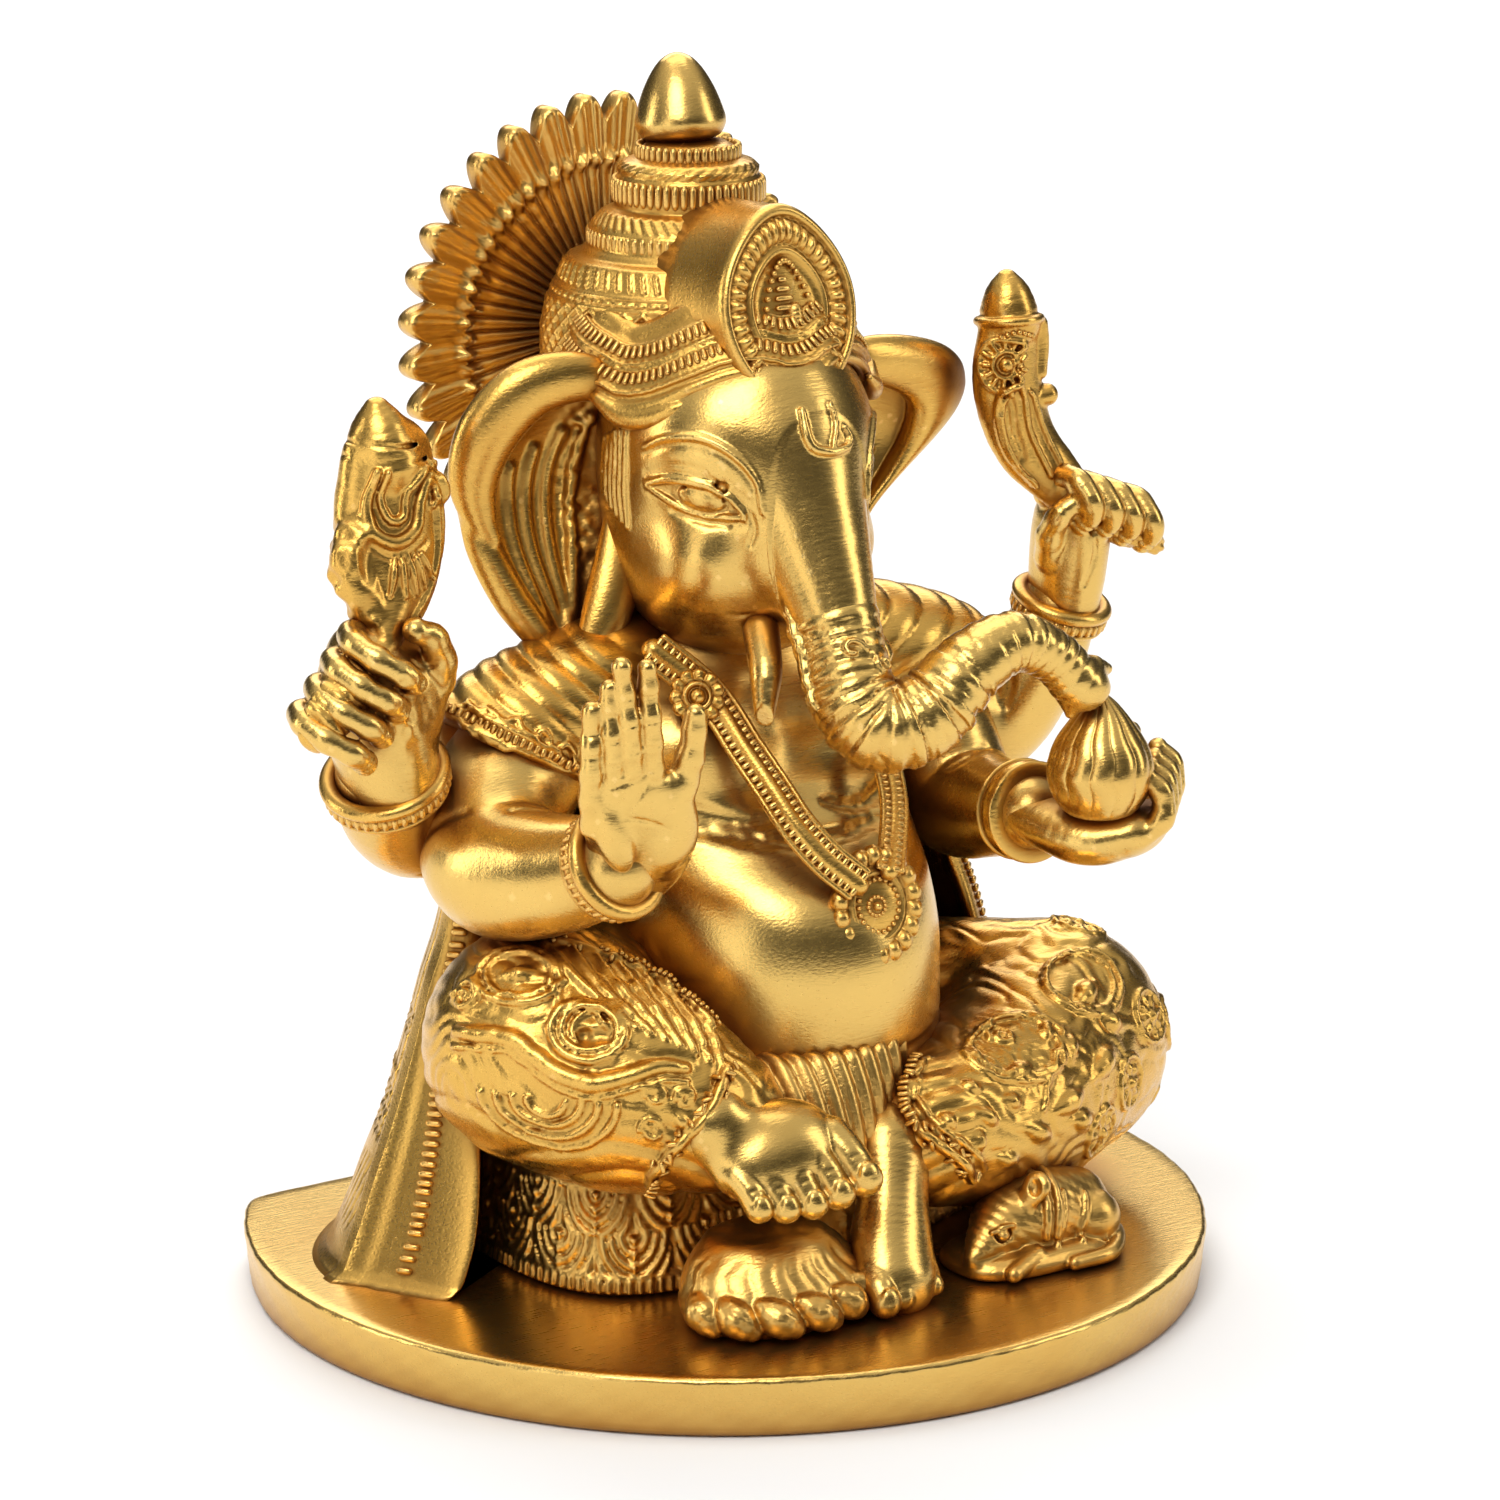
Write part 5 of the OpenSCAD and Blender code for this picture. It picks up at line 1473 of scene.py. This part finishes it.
def bracelets():
    """Smooth bands with a row of bars between them; the left front cuff is plain"""
    for name, (at, way, r, barred) in WRISTS.items():
        z = unit(way)
        x, y = frame_of(z)
        turn = np.stack([x, y, z], 1)
        piece = Piece(name, [name], "relief_brass")
        t = np.linspace(0, TAU, 19)[:-1]

        def band(h, size, tall):
            ring = [[r + size * math.cos(u), h + tall * math.sin(u)] for u in t]
            v = lathe(ring, 96)
            v = v @ turn.T + np.asarray(at)
            g, q = sheet(np.concatenate([v, v[:1]]), wrap=True)
            piece.add(*outward(g, [q]))
        if barred:
            band(1.5, 1.5, 1.25)
            band(-1.9, .75, .6)
            n = int(TAU * (r + .5) / 1.5)
            for i in range(n):
                a = TAU * i / n
                d = np.array([math.cos(a), math.sin(a), 0])
                low, top = (turn @ (d * (r + .55) + (0, 0, h)) + at for h in (-1.5, .6))
                piece.add(*bar(low, top, .62, turn @ d, tall=1.2))
            band(-.4, .9, 1.2)
        else:
            band(0, 1.4, 2.4)
            band(2.0, 1.55, .5)
            band(-2.0, 1.55, .5)
        piece.finish()


# ---------------------------------------------------------------- hands
def finger(clay, rows, r, r2, k=.35, rings=0):
    """One finger through joints; rings scribes lines round its tip"""
    n = len(rows) - 1
    pts = [[*p, r + (r2 - r) * i / n] for i, p in enumerate(rows)]

    def joints(s, p):
        return .12 * np.cos(s * TAU / 4.6) + .05 * noise(p, 1.8, 5)
    clay.path(pts, k=k, relief=joints, step=.9)
    if rings:
        b, a = np.array(rows[-1], float), np.array(rows[-2], float)
        d = unit(b - a)
        x, y = frame_of(d)
        for i in range(rings):
            c = b - d * (.1 + 1.3 * i)
            loop = [[*(c + (r2 + .1) * (math.cos(t) * x + math.sin(t) * y)), .28]
                    for t in np.linspace(0, TAU, 12)]
            clay.path(loop, k=.2, cut=True, step=.6)


def right_front_hand():
    """Open palm raised in blessing"""
    lo, hi = mm("right_front_hand")
    clay = Clay(lo - 4, hi + 4, 0.34)
    clay.path([[-43, -34.5, 84.5, 6.6], [-43.6, -38, 90, 8.4], [-45.6, -40, 95, 8.6],
               [-47.4, -40.6, 98, 7.8]], k=1, flat=.42, side=(.45, .9, .1))
    joints = [((-54.0, -38.4, 102.8), (-53.9, -38.6, 113.6)), ((-50.9, -40, 104.6), (-51.8, -40.2, 117.2)),
              ((-48.4, -41.6, 106.6), (-50.6, -42, 120.7)), ((-45.4, -42.6, 107.4), (-46.8, -43.2, 120.3))]
    for a, b in joints:
        a, b = np.array(a), np.array(b)
        a, b = a - (.4, 1.8, 0), b - (.4, 2.2, 0)
        finger(clay, [a + (1.4, 1.6, -8), a + (.3, .3, -2.5), a + (-.2, -.5, 0) + (b - a) * .3,
                      a + (b - a) * .65, b], 2.0, 1.55, k=.22)
        for s in (.05, .36, .66):                           # joint creases across the finger
            c = a + (b - a) * s + (-.7, -1.5, 0)
            clay.cord([[*(c - (1.5, -.8, 0)), .22], [*c, .32], [*(c + (1.5, -.8, .2)), .22]],
                      k=.25, lift=.15, cut=True)
    finger(clay, [(-41.5, -38.5, 88), (-41.4, -41.2, 94.5), (-39.6, -43.6, 101), (-38.7, -45, 107),
                  (-38.7, -45.8, 112)], 3.3, 1.8, k=1.6)
    clay.put(blob((-40.4, -41.6, 93), (4.0, 3.2, 6.6), turned(10, "Y")), k=1.4)    # ball of the thumb
    clay.put(blob((-50.2, -40.2, 93.4), (3.0, 3.0, 6.8), turned(-18, "Y")), k=1.4)
    for rows in ([[-52.3, -44, 101.4, .3], [-49.4, -45, 102.4, .42], [-46.0, -45, 104.0, .3]],
                 [[-49.6, -44, 96.5, .3], [-48.2, -45, 99.5, .42], [-46.8, -45, 102, .3]],
                 [[-49.6, -44, 96.5, .3], [-46, -44, 95.4, .42], [-42.6, -43.5, 93.8, .3]]):
        clay.cord(rows, k=.3, lift=.2, front=True, cut=True)
    clay.carve(lambda p: .06 * noise(p, 2.6, 3), 1.0)
    Piece("right_front_hand", ["right_front_hand"], "polished_brass").clay(clay).finish()


def left_front_hand():
    """Cupped hand that holds the sweet"""
    lo, hi = mm("left_front_hand")
    clay = Clay(lo - 3, hi + 3, 0.34)
    clay.path([[38.3, -31, 80.5, 6.4], [40, -36, 79.6, 7.4], [43, -40.5, 79, 8.2], [46.5, -44, 80, 7.6]],
              k=1, flat=.62, side=(.1, -.1, 1))
    for i in range(4):
        r = np.array([45.5, -49, 80]) + i * np.array([2.7, 2.6, .7])
        finger(clay, [r - (3, -2.5, 1), r, r + (3, -2.4, 3), r + (3.4, -2, 7), r + (1.6, -.6, 9.8)],
               2.35, 1.85, rings=1)
    finger(clay, [(46, -38, 80), (50, -37.6, 84), (52.5, -37.4, 89), (52, -38.4, 94.5)], 2.6, 1.8, k=.8)
    clay.carve(lambda p: .06 * noise(p, 2.6, 3), 1.0)
    Piece("left_front_hand", ["left_front_hand"], "polished_brass").clay(clay).finish()


def right_rear_hand():
    """Fist closed round the shaft of the goad"""
    lo, hi = mm("right_rear_hand")
    clay = Clay(lo - 3, hi + 3, 0.36)
    clay.path([[-66.5, 0, 96, 9], [-68.4, -1, 103, 9.8], [-71, -2, 110, 9.6], [-71.5, -2, 115, 7.6]],
              k=1.5, flat=.85, side=(1, 0, 0))
    clay.put(blob((-64.6, -2.5, 110), (5.4, 6.4, 9.5), turned(-12, "Y")), k=2)     # back of the hand
    for i in range(4):
        r = np.array([-75, -7.5, 120]) + i * np.array([-2.9, .3, -3.9])
        finger(clay, [r + (3.2, 6, .6), r + (-1.0, 2.4, 1.2), r + (-2.0, -2.2, .4), r + (.2, -5.4, -1.8),
                      r + (4.0, -6.4, -4.2), r + (6.4, -4.4, -6.0)], 2.35, 1.95, rings=3)
    finger(clay, [(-61.5, -3, 108), (-60.6, -6.4, 114), (-63, -8.6, 119.4), (-66.6, -9, 121.6)],
           3.0, 2.1, k=1.2)
    clay.cord([[-62.5, -9, 116.5, .4], [-64.4, -9.6, 115.2, .5], [-66.6, -9.6, 117, .35]], lift=.2, cut=True)

    def rough(p):
        near = np.exp(-((p[:, 0] + 71) ** 2 + (p[:, 2] - 111) ** 2) / 42.0) * ramp(p[:, 1], -3, -6)
        return .34 * near * noise(p, 1.3, 8) + .06 * noise(p, 3, 3)
    clay.carve(rough, 1.2)
    Piece("right_rear_hand", ["right_rear_hand"], "polished_brass").clay(clay).finish()


def left_rear_hand():
    """Fist closed round the shaft of the noose"""
    lo, hi = mm("left_rear_hand")
    clay = Clay(lo - 3, hi + 3, 0.34)
    clay.path([[67.4, .2, 107, 6.9], [67.4, -.6, 114, 7.6], [67.6, -1.4, 121, 7.6], [67.6, -1.6, 124, 6]],
              k=1, flat=.8, side=(1, 0, 0))
    for i in range(4):
        r = np.array([63.6, -5.5, 129.5]) + i * np.array([4.0, -.4, -1.5])
        finger(clay, [r + (-.6, 5, -3), r + (.2, 2.4, .2), r + (.4, -1.6, .4), r + (1.2, -4.4, -2.2),
                      r + (1.9, -4.2, -5.4), r + (1.4, -2.2, -7)], 2.3, 1.9, rings=2)
    finger(clay, [(62.6, -2, 116), (60.8, -4.2, 120.5), (61.2, -6.8, 124.4), (64, -8, 126.6)], 2.7, 1.8, k=1)
    clay.cord([[66.4, -8, 121, .4], [67.2, -9, 117, .6], [65.8, -9, 111.5, .35]], k=.5, lift=.1, cut=True,
              front=True)
    clay.carve(lambda p: .06 * noise(p, 2.6, 3), 1.0)
    Piece("left_rear_hand", ["left_rear_hand"], "polished_brass").clay(clay).finish()


# ---------------------------------------------------------------- what the hands hold
def sweet():
    """Round sweet with a pointed top and upright ridges"""
    lo, hi = mm("sweet")
    c = (lo + hi) / 2
    prof = spread([[.3, 0, 0], [5, .5, 0], [7.4, 3, 0], [8.6, 6.5, 0], [8.6, 9.2, 0], [7.4, 12.6, 0],
                   [5.4, 15.6, 0], [3.2, 18.4, 0], [1.4, 20.1, 0], [.3, 20.6, 0]], .35)[:, :2]

    def ribs(a, z):
        full = np.sin(np.clip(z / 20.6, 0, 1) * math.pi) ** .7
        return .42 * (ridge(a + .03 * np.sin(z), TAU / 13, .7) - .7) * full
    piece = Piece("sweet", ["sweet"], "polished_brass")
    piece.add(*closed(lathe(prof, 260, (c[0], c[1], lo[2]), relief=ribs)))
    piece.finish()


def rings_round(clay, at, way, r, size, k=.3, cut=True):
    x, y = frame_of(way)
    loop = [[*(np.asarray(at) + r * (math.cos(t) * x + math.sin(t) * y)), size]
            for t in np.linspace(0, TAU, 25)]
    clay.path(loop, k=k, cut=cut, step=.8)


def goad():
    """Elephant goad: a curled hook under a cone cap, its shaft end fluted like a tassel"""
    lo, hi = mm("goad")
    clay = Clay(lo - (6, 3, 3), hi + 3, 0.34)

    def flutes(s, p):
        return .4 * (ridge((p[:, 0] * .75 + p[:, 2] * .6), 1.9, .8) - .5) * ramp(s, 14, 9)
    clay.path([[-84.6, -9.5, 107.4, 2.6], [-81.6, -8.6, 110.5, 4.2], [-77, -7.2, 114.4, 4.2],
               [-71, -5, 119, 3.4], [-67, -2, 125, 4]], k=.6, relief=flutes)
    clay.path([[-67, -2, 124, 5.5], [-66, 0, 131, 8.0], [-65, 2, 138, 9.2], [-65, 2, 146, 8]],
              flat=.6, side=(0, 1, 0), k=.8)
    clay.path([[-65.2, 2, 146.5, 6.6], [-66, 2, 150.5, 4.9], [-66.5, 2, 154.6, 2.3]], k=.6)
    for z, r in ((149.8, 5.6), (147.6, 6.9)):
        rings_round(clay, (-66, 2, z), (.1, 0, 1), r, .42)
    front = [[-69.5, -3, 146, .7], [-71.5, -3, 141, .9], [-70.5, -3.4, 136.6, 1.0], [-67, -3.6, 134.6, 1.1],
             [-63.4, -3.6, 136.6, 1.1], [-62, -3.6, 141, 1.0], [-59.8, -3.2, 143.6, .9],
             [-57.8, -2.6, 141.6, .8], [-59.2, -3, 139.6, .6]]
    clay.cord(front, k=.4, lift=.35)
    inner = [[-67.6, -3, 146, .5], [-69, -3, 141.6, .6], [-67.6, -3.4, 138.2, .7], [-65.4, -3.6, 138.6, .7],
             [-64.6, -3.6, 142.4, .7], [-61.4, -3.2, 145.6, .6], [-57.6, -2.4, 144.6, .55],
             [-56.8, -2, 141, .5]]
    clay.cord(inner, k=.3, lift=.3)
    clay.cord([[-72.8, -2, 137, .5], [-70, -3.4, 133.4, .6], [-66, -3.8, 131.8, .6], [-61, -3.4, 134, .5]],
              k=.3, lift=.2, cut=True)
    for dx in (0, 1.9):                                  # double rim down the outer edge
        clay.cord([[-57.2 + dx * -1, -1.5, 146, .6], [-56.4 - dx, -2, 140, .7], [-56.8 - dx, -2, 133, .7],
                   [-59.4 - dx, -3, 127, .6], [-63.4 - dx, -4.4, 122.6, .5]], k=.35, lift=.2)
    for i in range(5):                                   # fanned strokes below the hook
        a = math.radians(250 + 17 * i)
        o = np.array([-67.5 + 1.2 * i, -4, 132.4])
        e = o + np.array([3.4 * math.cos(a), -.4, 6.4 * math.sin(a)])
        clay.cord([[*o, .35], [*((o + e) / 2), .6], [*e, .35]], k=.3, lift=.25)
    clay.path([[-71, -3, 124, 3.2], [-73.4, -2, 129, 3.3], [-73.6, -1, 134, 3.0], [-71, -1, 138, 2.0]], k=.8)

    def lumps(p):
        left = ramp(p[:, 0], -70, -72) * ramp(p[:, 2], 140, 137)
        return .7 * left * noise(p, 2.2, 4) + .05 * noise(p, 2, 5)
    clay.carve(lumps, 1.4)
    Piece("goad", ["goad"], "relief_brass").clay(clay).finish()


def noose():
    """Curved noose head with a wheel, long leaf loops and a fluted tassel"""
    lo, hi = mm("noose")
    clay = Clay(lo - 3, hi + 3, 0.32)

    def flutes(s, p):
        return .4 * (ridge((p[:, 0] * .5 + p[:, 2] * .95 - p[:, 1] * .3), 1.7, .8) - .5) * ramp(s, 15, 12)
    clay.path([[80, -8.6, 117, 1.6], [77.4, -7.8, 119.4, 3.0], [73, -6.4, 122, 4.0], [69, -4.6, 124.6, 3.9],
               [65.5, -3, 127, 3.9]], k=.6, relief=flutes)
    clay.path([[65, -2, 128, 4.6], [59, 1, 136, 6], [56, 2, 146, 6.6], [56.3, 2, 154.6, 6.0]],
              flat=.62, side=(0, 1, 0), k=.8)
    clay.path([[56.3, 2, 156.4, 5.3], [56, 2, 160, 4.2], [55.7, 2, 163.4, 2.0]], k=.5)
    rings_round(clay, (56.2, 2, 156.8), (0, .1, 1), 5.3, .75, k=.4, cut=False)
    rings_round(clay, (56.2, 2, 158.0), (0, .1, 1), 5.2, .35)
    wheel, _ = clay.snap([[52.6, -4, 150.0, 0]])
    o = wheel[0, :3]
    n = unit((-.55, -.8, .15))
    x, y = frame_of(n)

    def rim(r, size):
        clay.cord([[*(o + r * (math.cos(t) * x + math.sin(t) * y)), size] for t in np.linspace(0, TAU, 25)],
                  k=.3, lift=.2)
    clay.put(blob(o + n * .5, (1.3, 1.1, 1.3)), k=.3)
    rim(2.3, .45)
    rim(4.7, .5)
    for i in range(13):
        t = TAU * i / 13
        w = math.cos(t) * x + math.sin(t) * y
        clay.cord([[*(o + w * 3.0), .38], [*(o + w * 4.2), .42]], k=.25, lift=.3)
    clay.cord([[61.2, 0, 156, 1.2], [62.2, -.4, 152, 1.4], [61.4, -.6, 147.6, 1.1]], k=.6, lift=.1)
    for dx, dz, r in ((0, 0, .55), (2.0, -.8, .5)):      # long leaf loop
        clay.cord([[51.6 + dx, -3, 145.4 + dz, r], [50.6 + dx, -3, 141, r], [52.4 + dx, -3, 134.5, r],
                   [57.6 + dx * .5, -4, 128.6, r]], k=.3, lift=.25)
    clay.cord([[51.8, -3, 145.6, .55], [54.4, -3.6, 146.4, .6], [56.4, -3.6, 144.4, .55],
               [57.4, -3.8, 138.4, .55], [61, -4.2, 130.4, .5]], k=.3, lift=.25)
    clay.cord([[58.6, -3.4, 145, .5], [60, -3, 140, .6], [63, -3.6, 132.4, .5]], k=.3, lift=.25)
    clay.cord([[54.2, -3, 143, .9], [54.8, -3.4, 138, .9], [57.4, -4, 131.6, .7]], k=.5, lift=.3, cut=True)
    clay.path([[60.4, 0, 143.2, 1.6], [62.8, -.2, 143.6, 1.9]], k=.4)
    clay.carve(lambda p: .05 * noise(p, 2, 5), 1.0)
    piece = Piece("noose", ["noose"], "relief_brass").clay(clay)
    beads(piece, clay, [[51.6, -2, 155.0, 0], [54.6, -3.6, 155.4, 0], [57.6, -3.6, 154.4, 0]], .5, 1.15)
    piece.finish()


# ---------------------------------------------------------------- jewellery
def ribbon(piece, rows, half, base_r):
    """Neck chain: plain edges and two rows of bars between them"""
    lo = np.array(rows)[:, :3].min(0) - half - 4
    hi = np.array(rows)[:, :3].max(0) + half + 4
    clay = Clay(lo, hi, .32)
    clay.path([[x, y, z, base_r] for x, y, z in rows], k=.4)
    p = even([[x, y, z, 0] for x, y, z in rows], 1.3)
    t = np.gradient(p[:, :3], axis=0)
    t /= np.linalg.norm(t, axis=1)[:, None]
    n = np.tile(unit((-.35, -.85, .3)), (len(p), 1))
    n -= t * (n * t).sum(1)[:, None]
    n /= np.linalg.norm(n, axis=1)[:, None]
    w = np.cross(n, t)
    top = p[:, :3] + n * base_r * .55
    for off in (-half, 0, half):
        clay.path(np.column_stack([top + w * off, np.full(len(p), .55 if off else .35)]), k=.4)
    piece.clay(clay)
    for off in (-half * .5, half * .5):
        for c, nn, ww in zip(top + w * off, n, w):
            piece.add(*bar(c - ww * half * .42 + nn * .15, c + ww * half * .42 + nn * .15, .56, nn))


def necklace():
    piece = Piece("necklace", ["necklace"], "relief_brass")
    ribbon(piece, [(-22.5, -9, 112.5), (-15.5, -14.6, 105), (-12.6, -20.8, 97), (-10.6, -25.8, 91),
                   (-8.8, -29.8, 85.8), (-5.6, -33.6, 80.6), (-1.6, -36.6, 76.5)], 2.6, 1.9)
    ribbon(piece, [(16, -12, 106), (14, -19, 97), (11, -28.5, 87), (4, -37.5, 78)], 1.9, 1.5)
    piece.finish()


def flower(piece, at, n, r, petals, thick=1.0):
    """Round boss with petals, rings and a bead"""
    at, n = np.asarray(at, float), unit(n)
    x, y = frame_of(n)
    a = np.arange(petals * 12) / (petals * 12) * TAU
    wave = np.abs(np.cos(a * petals / 2)) ** .6

    def ring(f, h, amp=0.0):
        rad = r * (f + amp * (wave - .5))
        return at + (rad[:, None] * (np.cos(a)[:, None] * x + np.sin(a)[:, None] * y)) + n * h
    rings = [ring(.05, -1.6 * thick), ring(.92, -1.6 * thick, .1), ring(1.0, -.3, .14), ring(.97, .4, .14)]
    for f in np.linspace(.9, .62, 6):
        rings.append(ring(f, .7, .12) + n * (.5 * (wave - .6))[:, None])
    rings += [ring(.58, .2), ring(.54, .9), ring(.46, 1.1), ring(.4, .8), ring(.36, .3), ring(.3, .3),
              ring(.27, 1.0), ring(.18, 1.5), ring(.04, 1.7)]
    piece.add(*closed(np.array(rings)))


def rosette():
    piece = Piece("rosette", ["rosette"], "relief_brass")
    flower(piece, (-18.4, -15.6, 105.6), (-.42, -.83, .33), 4.3, 11)
    piece.finish()


def pendant():
    """Fan-shaped pendant: scalloped ridges round a smooth plate with a small ringed boss"""
    lo, hi = mm("pendant")
    piece = Piece("pendant", ["pendant"], "relief_brass")
    n = unit((-.12, -.97, .18))
    x, y = frame_of(n)
    at = (lo + hi) / 2
    a = np.arange(240) / 240 * TAU
    lobes = np.abs(np.sin(a * 9)) ** .6

    def ring(f, h, lobe=0.0, ribs=0.0):
        g = f + lobe * (lobes - .6)
        rise = (h + ribs * (lobes - .5))[:, None] * n
        return at + 7.8 * (g * np.cos(a))[:, None] * x + 9.4 * (g * np.sin(a))[:, None] * y + rise
    one = np.ones(240)
    rings = [ring(.05, -2.5 * one), ring(.9, -2.5 * one), ring(1.0, -1.0 * one, .08),
             ring(1.02, .3 * one, .09), ring(.98, .9 * one, .07, .5), ring(.88, 1.2 * one, 0, .8),
             ring(.78, 1.1 * one, 0, .8), ring(.7, .7 * one, 0, .4), ring(.67, .3 * one),
             ring(.62, .9 * one), ring(.56, 1.0 * one), ring(.52, .6 * one), ring(.4, 1.0 * one),
             ring(.2, 1.3 * one), ring(.03, 1.4 * one)]
    piece.add(*closed(np.array(rings)))
    for i in range(22):
        t = TAU * i / 22
        piece.add(*bead(at + 3.6 * math.cos(t) * x + 4.3 * math.sin(t) * y + n * .9, .45, n))
    for r, h, size in ((1.5, 1.3, .4), (0, 1.6, .8)):
        for i in range(14 if r else 1):
            t = TAU * i / 14
            piece.add(*bead(at + (r * math.cos(t) + .6) * x + r * math.sin(t) * y + n * h, size, n))
    piece.finish()


# ---------------------------------------------------------------- build
PIECES = [base_plate, seat, seat_cloth, cape, torso, shawl, right_leg, left_leg, waist_sash,
          right_foot, left_foot, foot_rest, mouse, head, trunk, tusks, right_ear, left_ear, crown,
          crown_plaque, finial, halo, arms, right_front_hand, left_front_hand, right_rear_hand,
          left_rear_hand, bracelets, sweet, goad, noose, necklace, rosette, pendant]
for make in PIECES:
    make()


# ---------------------------------------------------------------- floor, light and camera
def floor():
    me = bpy.data.meshes.new("floor")
    me.from_pydata([(-6, -6, 0), (6, -6, 0), (6, 6, 0), (-6, 6, 0)], [], [(0, 1, 2, 3)])
    ob = bpy.data.objects.new("floor", me)
    ob.location.z = size_before[0].z - 0.0002
    mat = bpy.data.materials.new("pale floor")
    mat.use_nodes = True
    shader = mat.node_tree.nodes["Principled BSDF"]
    shader.inputs["Base Color"].default_value = (0.93, 0.93, 0.93, 1)
    shader.inputs["Roughness"].default_value = 0.9
    me.materials.append(mat)
    bpy.context.scene.collection.objects.link(ob)


def soft_light(name, at, size, power, target=(0, 0, 0.1)):
    lamp = bpy.data.lights.new(name, "AREA")
    lamp.shape = "RECTANGLE"
    lamp.size, lamp.size_y = size
    lamp.energy = power
    ob = bpy.data.objects.new(name, lamp)
    ob.location = at
    ob.rotation_euler = (Vector(target) - Vector(at)).to_track_quat("-Z", "Y").to_euler()
    bpy.context.scene.collection.objects.link(ob)


def studio():
    """A pale dome above, dark round the horizon, and soft boxes to either side"""
    world = bpy.data.worlds.new("studio")
    bpy.context.scene.world = world
    world.use_nodes = True
    tree = world.node_tree
    back = tree.nodes["Background"]
    at = tree.nodes.new("ShaderNodeTexCoord")
    split = tree.nodes.new("ShaderNodeSeparateXYZ")
    fade = tree.nodes.new("ShaderNodeMapRange")
    fade.interpolation_type = "SMOOTHSTEP"
    fade.inputs["From Min"].default_value = 0.3
    fade.inputs["From Max"].default_value = 0.85
    fade.inputs["To Min"].default_value = 0.05
    fade.inputs["To Max"].default_value = 0.65
    link(tree, at.outputs["Generated"], split.inputs["Vector"])
    link(tree, split.outputs["Z"], fade.inputs["Value"])
    link(tree, fade.outputs["Result"], back.inputs["Color"])
    soft_light("key", (-0.56, -0.52, 0.93), (0.6, 0.6), 5.8)
    soft_light("fill", (0.8, -0.65, 0.5), (0.3, 0.7), 2)
    soft_light("top", (0.1, 0.25, 1.1), (0.9, 0.7), 3.5)
    soft_light("side", (-1.1, -0.45, 0.3), (0.5, 0.7), 1.6)
    soft_light("rim", (-0.9, 0.5, 0.35), (0.25, 0.6), 2)
    soft_light("wash", (1.0, 1.7, 1.3), (2.0, 1.5), 26, (0.9, 1.5, 0))


def camera():
    """The photograph's angle: 34 degrees round to the figure's right, 14.7 degrees up"""
    azimuth, height, distance = math.radians(-34), math.radians(14.7), 0.9
    back = Vector((math.sin(azimuth) * math.cos(height), -math.cos(azimuth) * math.cos(height),
                   math.sin(height)))
    right = Vector((math.cos(azimuth), math.sin(azimuth), 0))
    lo, hi = size_before
    aim = Vector((0, 0.0042, lo.z + (hi.z - lo.z) * 0.4392)) + right * 0.0043
    lens = bpy.data.cameras.new("camera")
    lens.sensor_width = 36
    lens.lens = 130.1
    lens.dof.use_dof = False
    ob = bpy.data.objects.new("camera", lens)
    ob.location = aim + back * distance
    ob.rotation_euler = back.to_track_quat("Z", "Y").to_euler()
    bpy.context.scene.collection.objects.link(ob)
    bpy.context.scene.camera = ob


floor()
studio()
camera()
bpy.context.scene.view_settings.view_transform = "Standard"
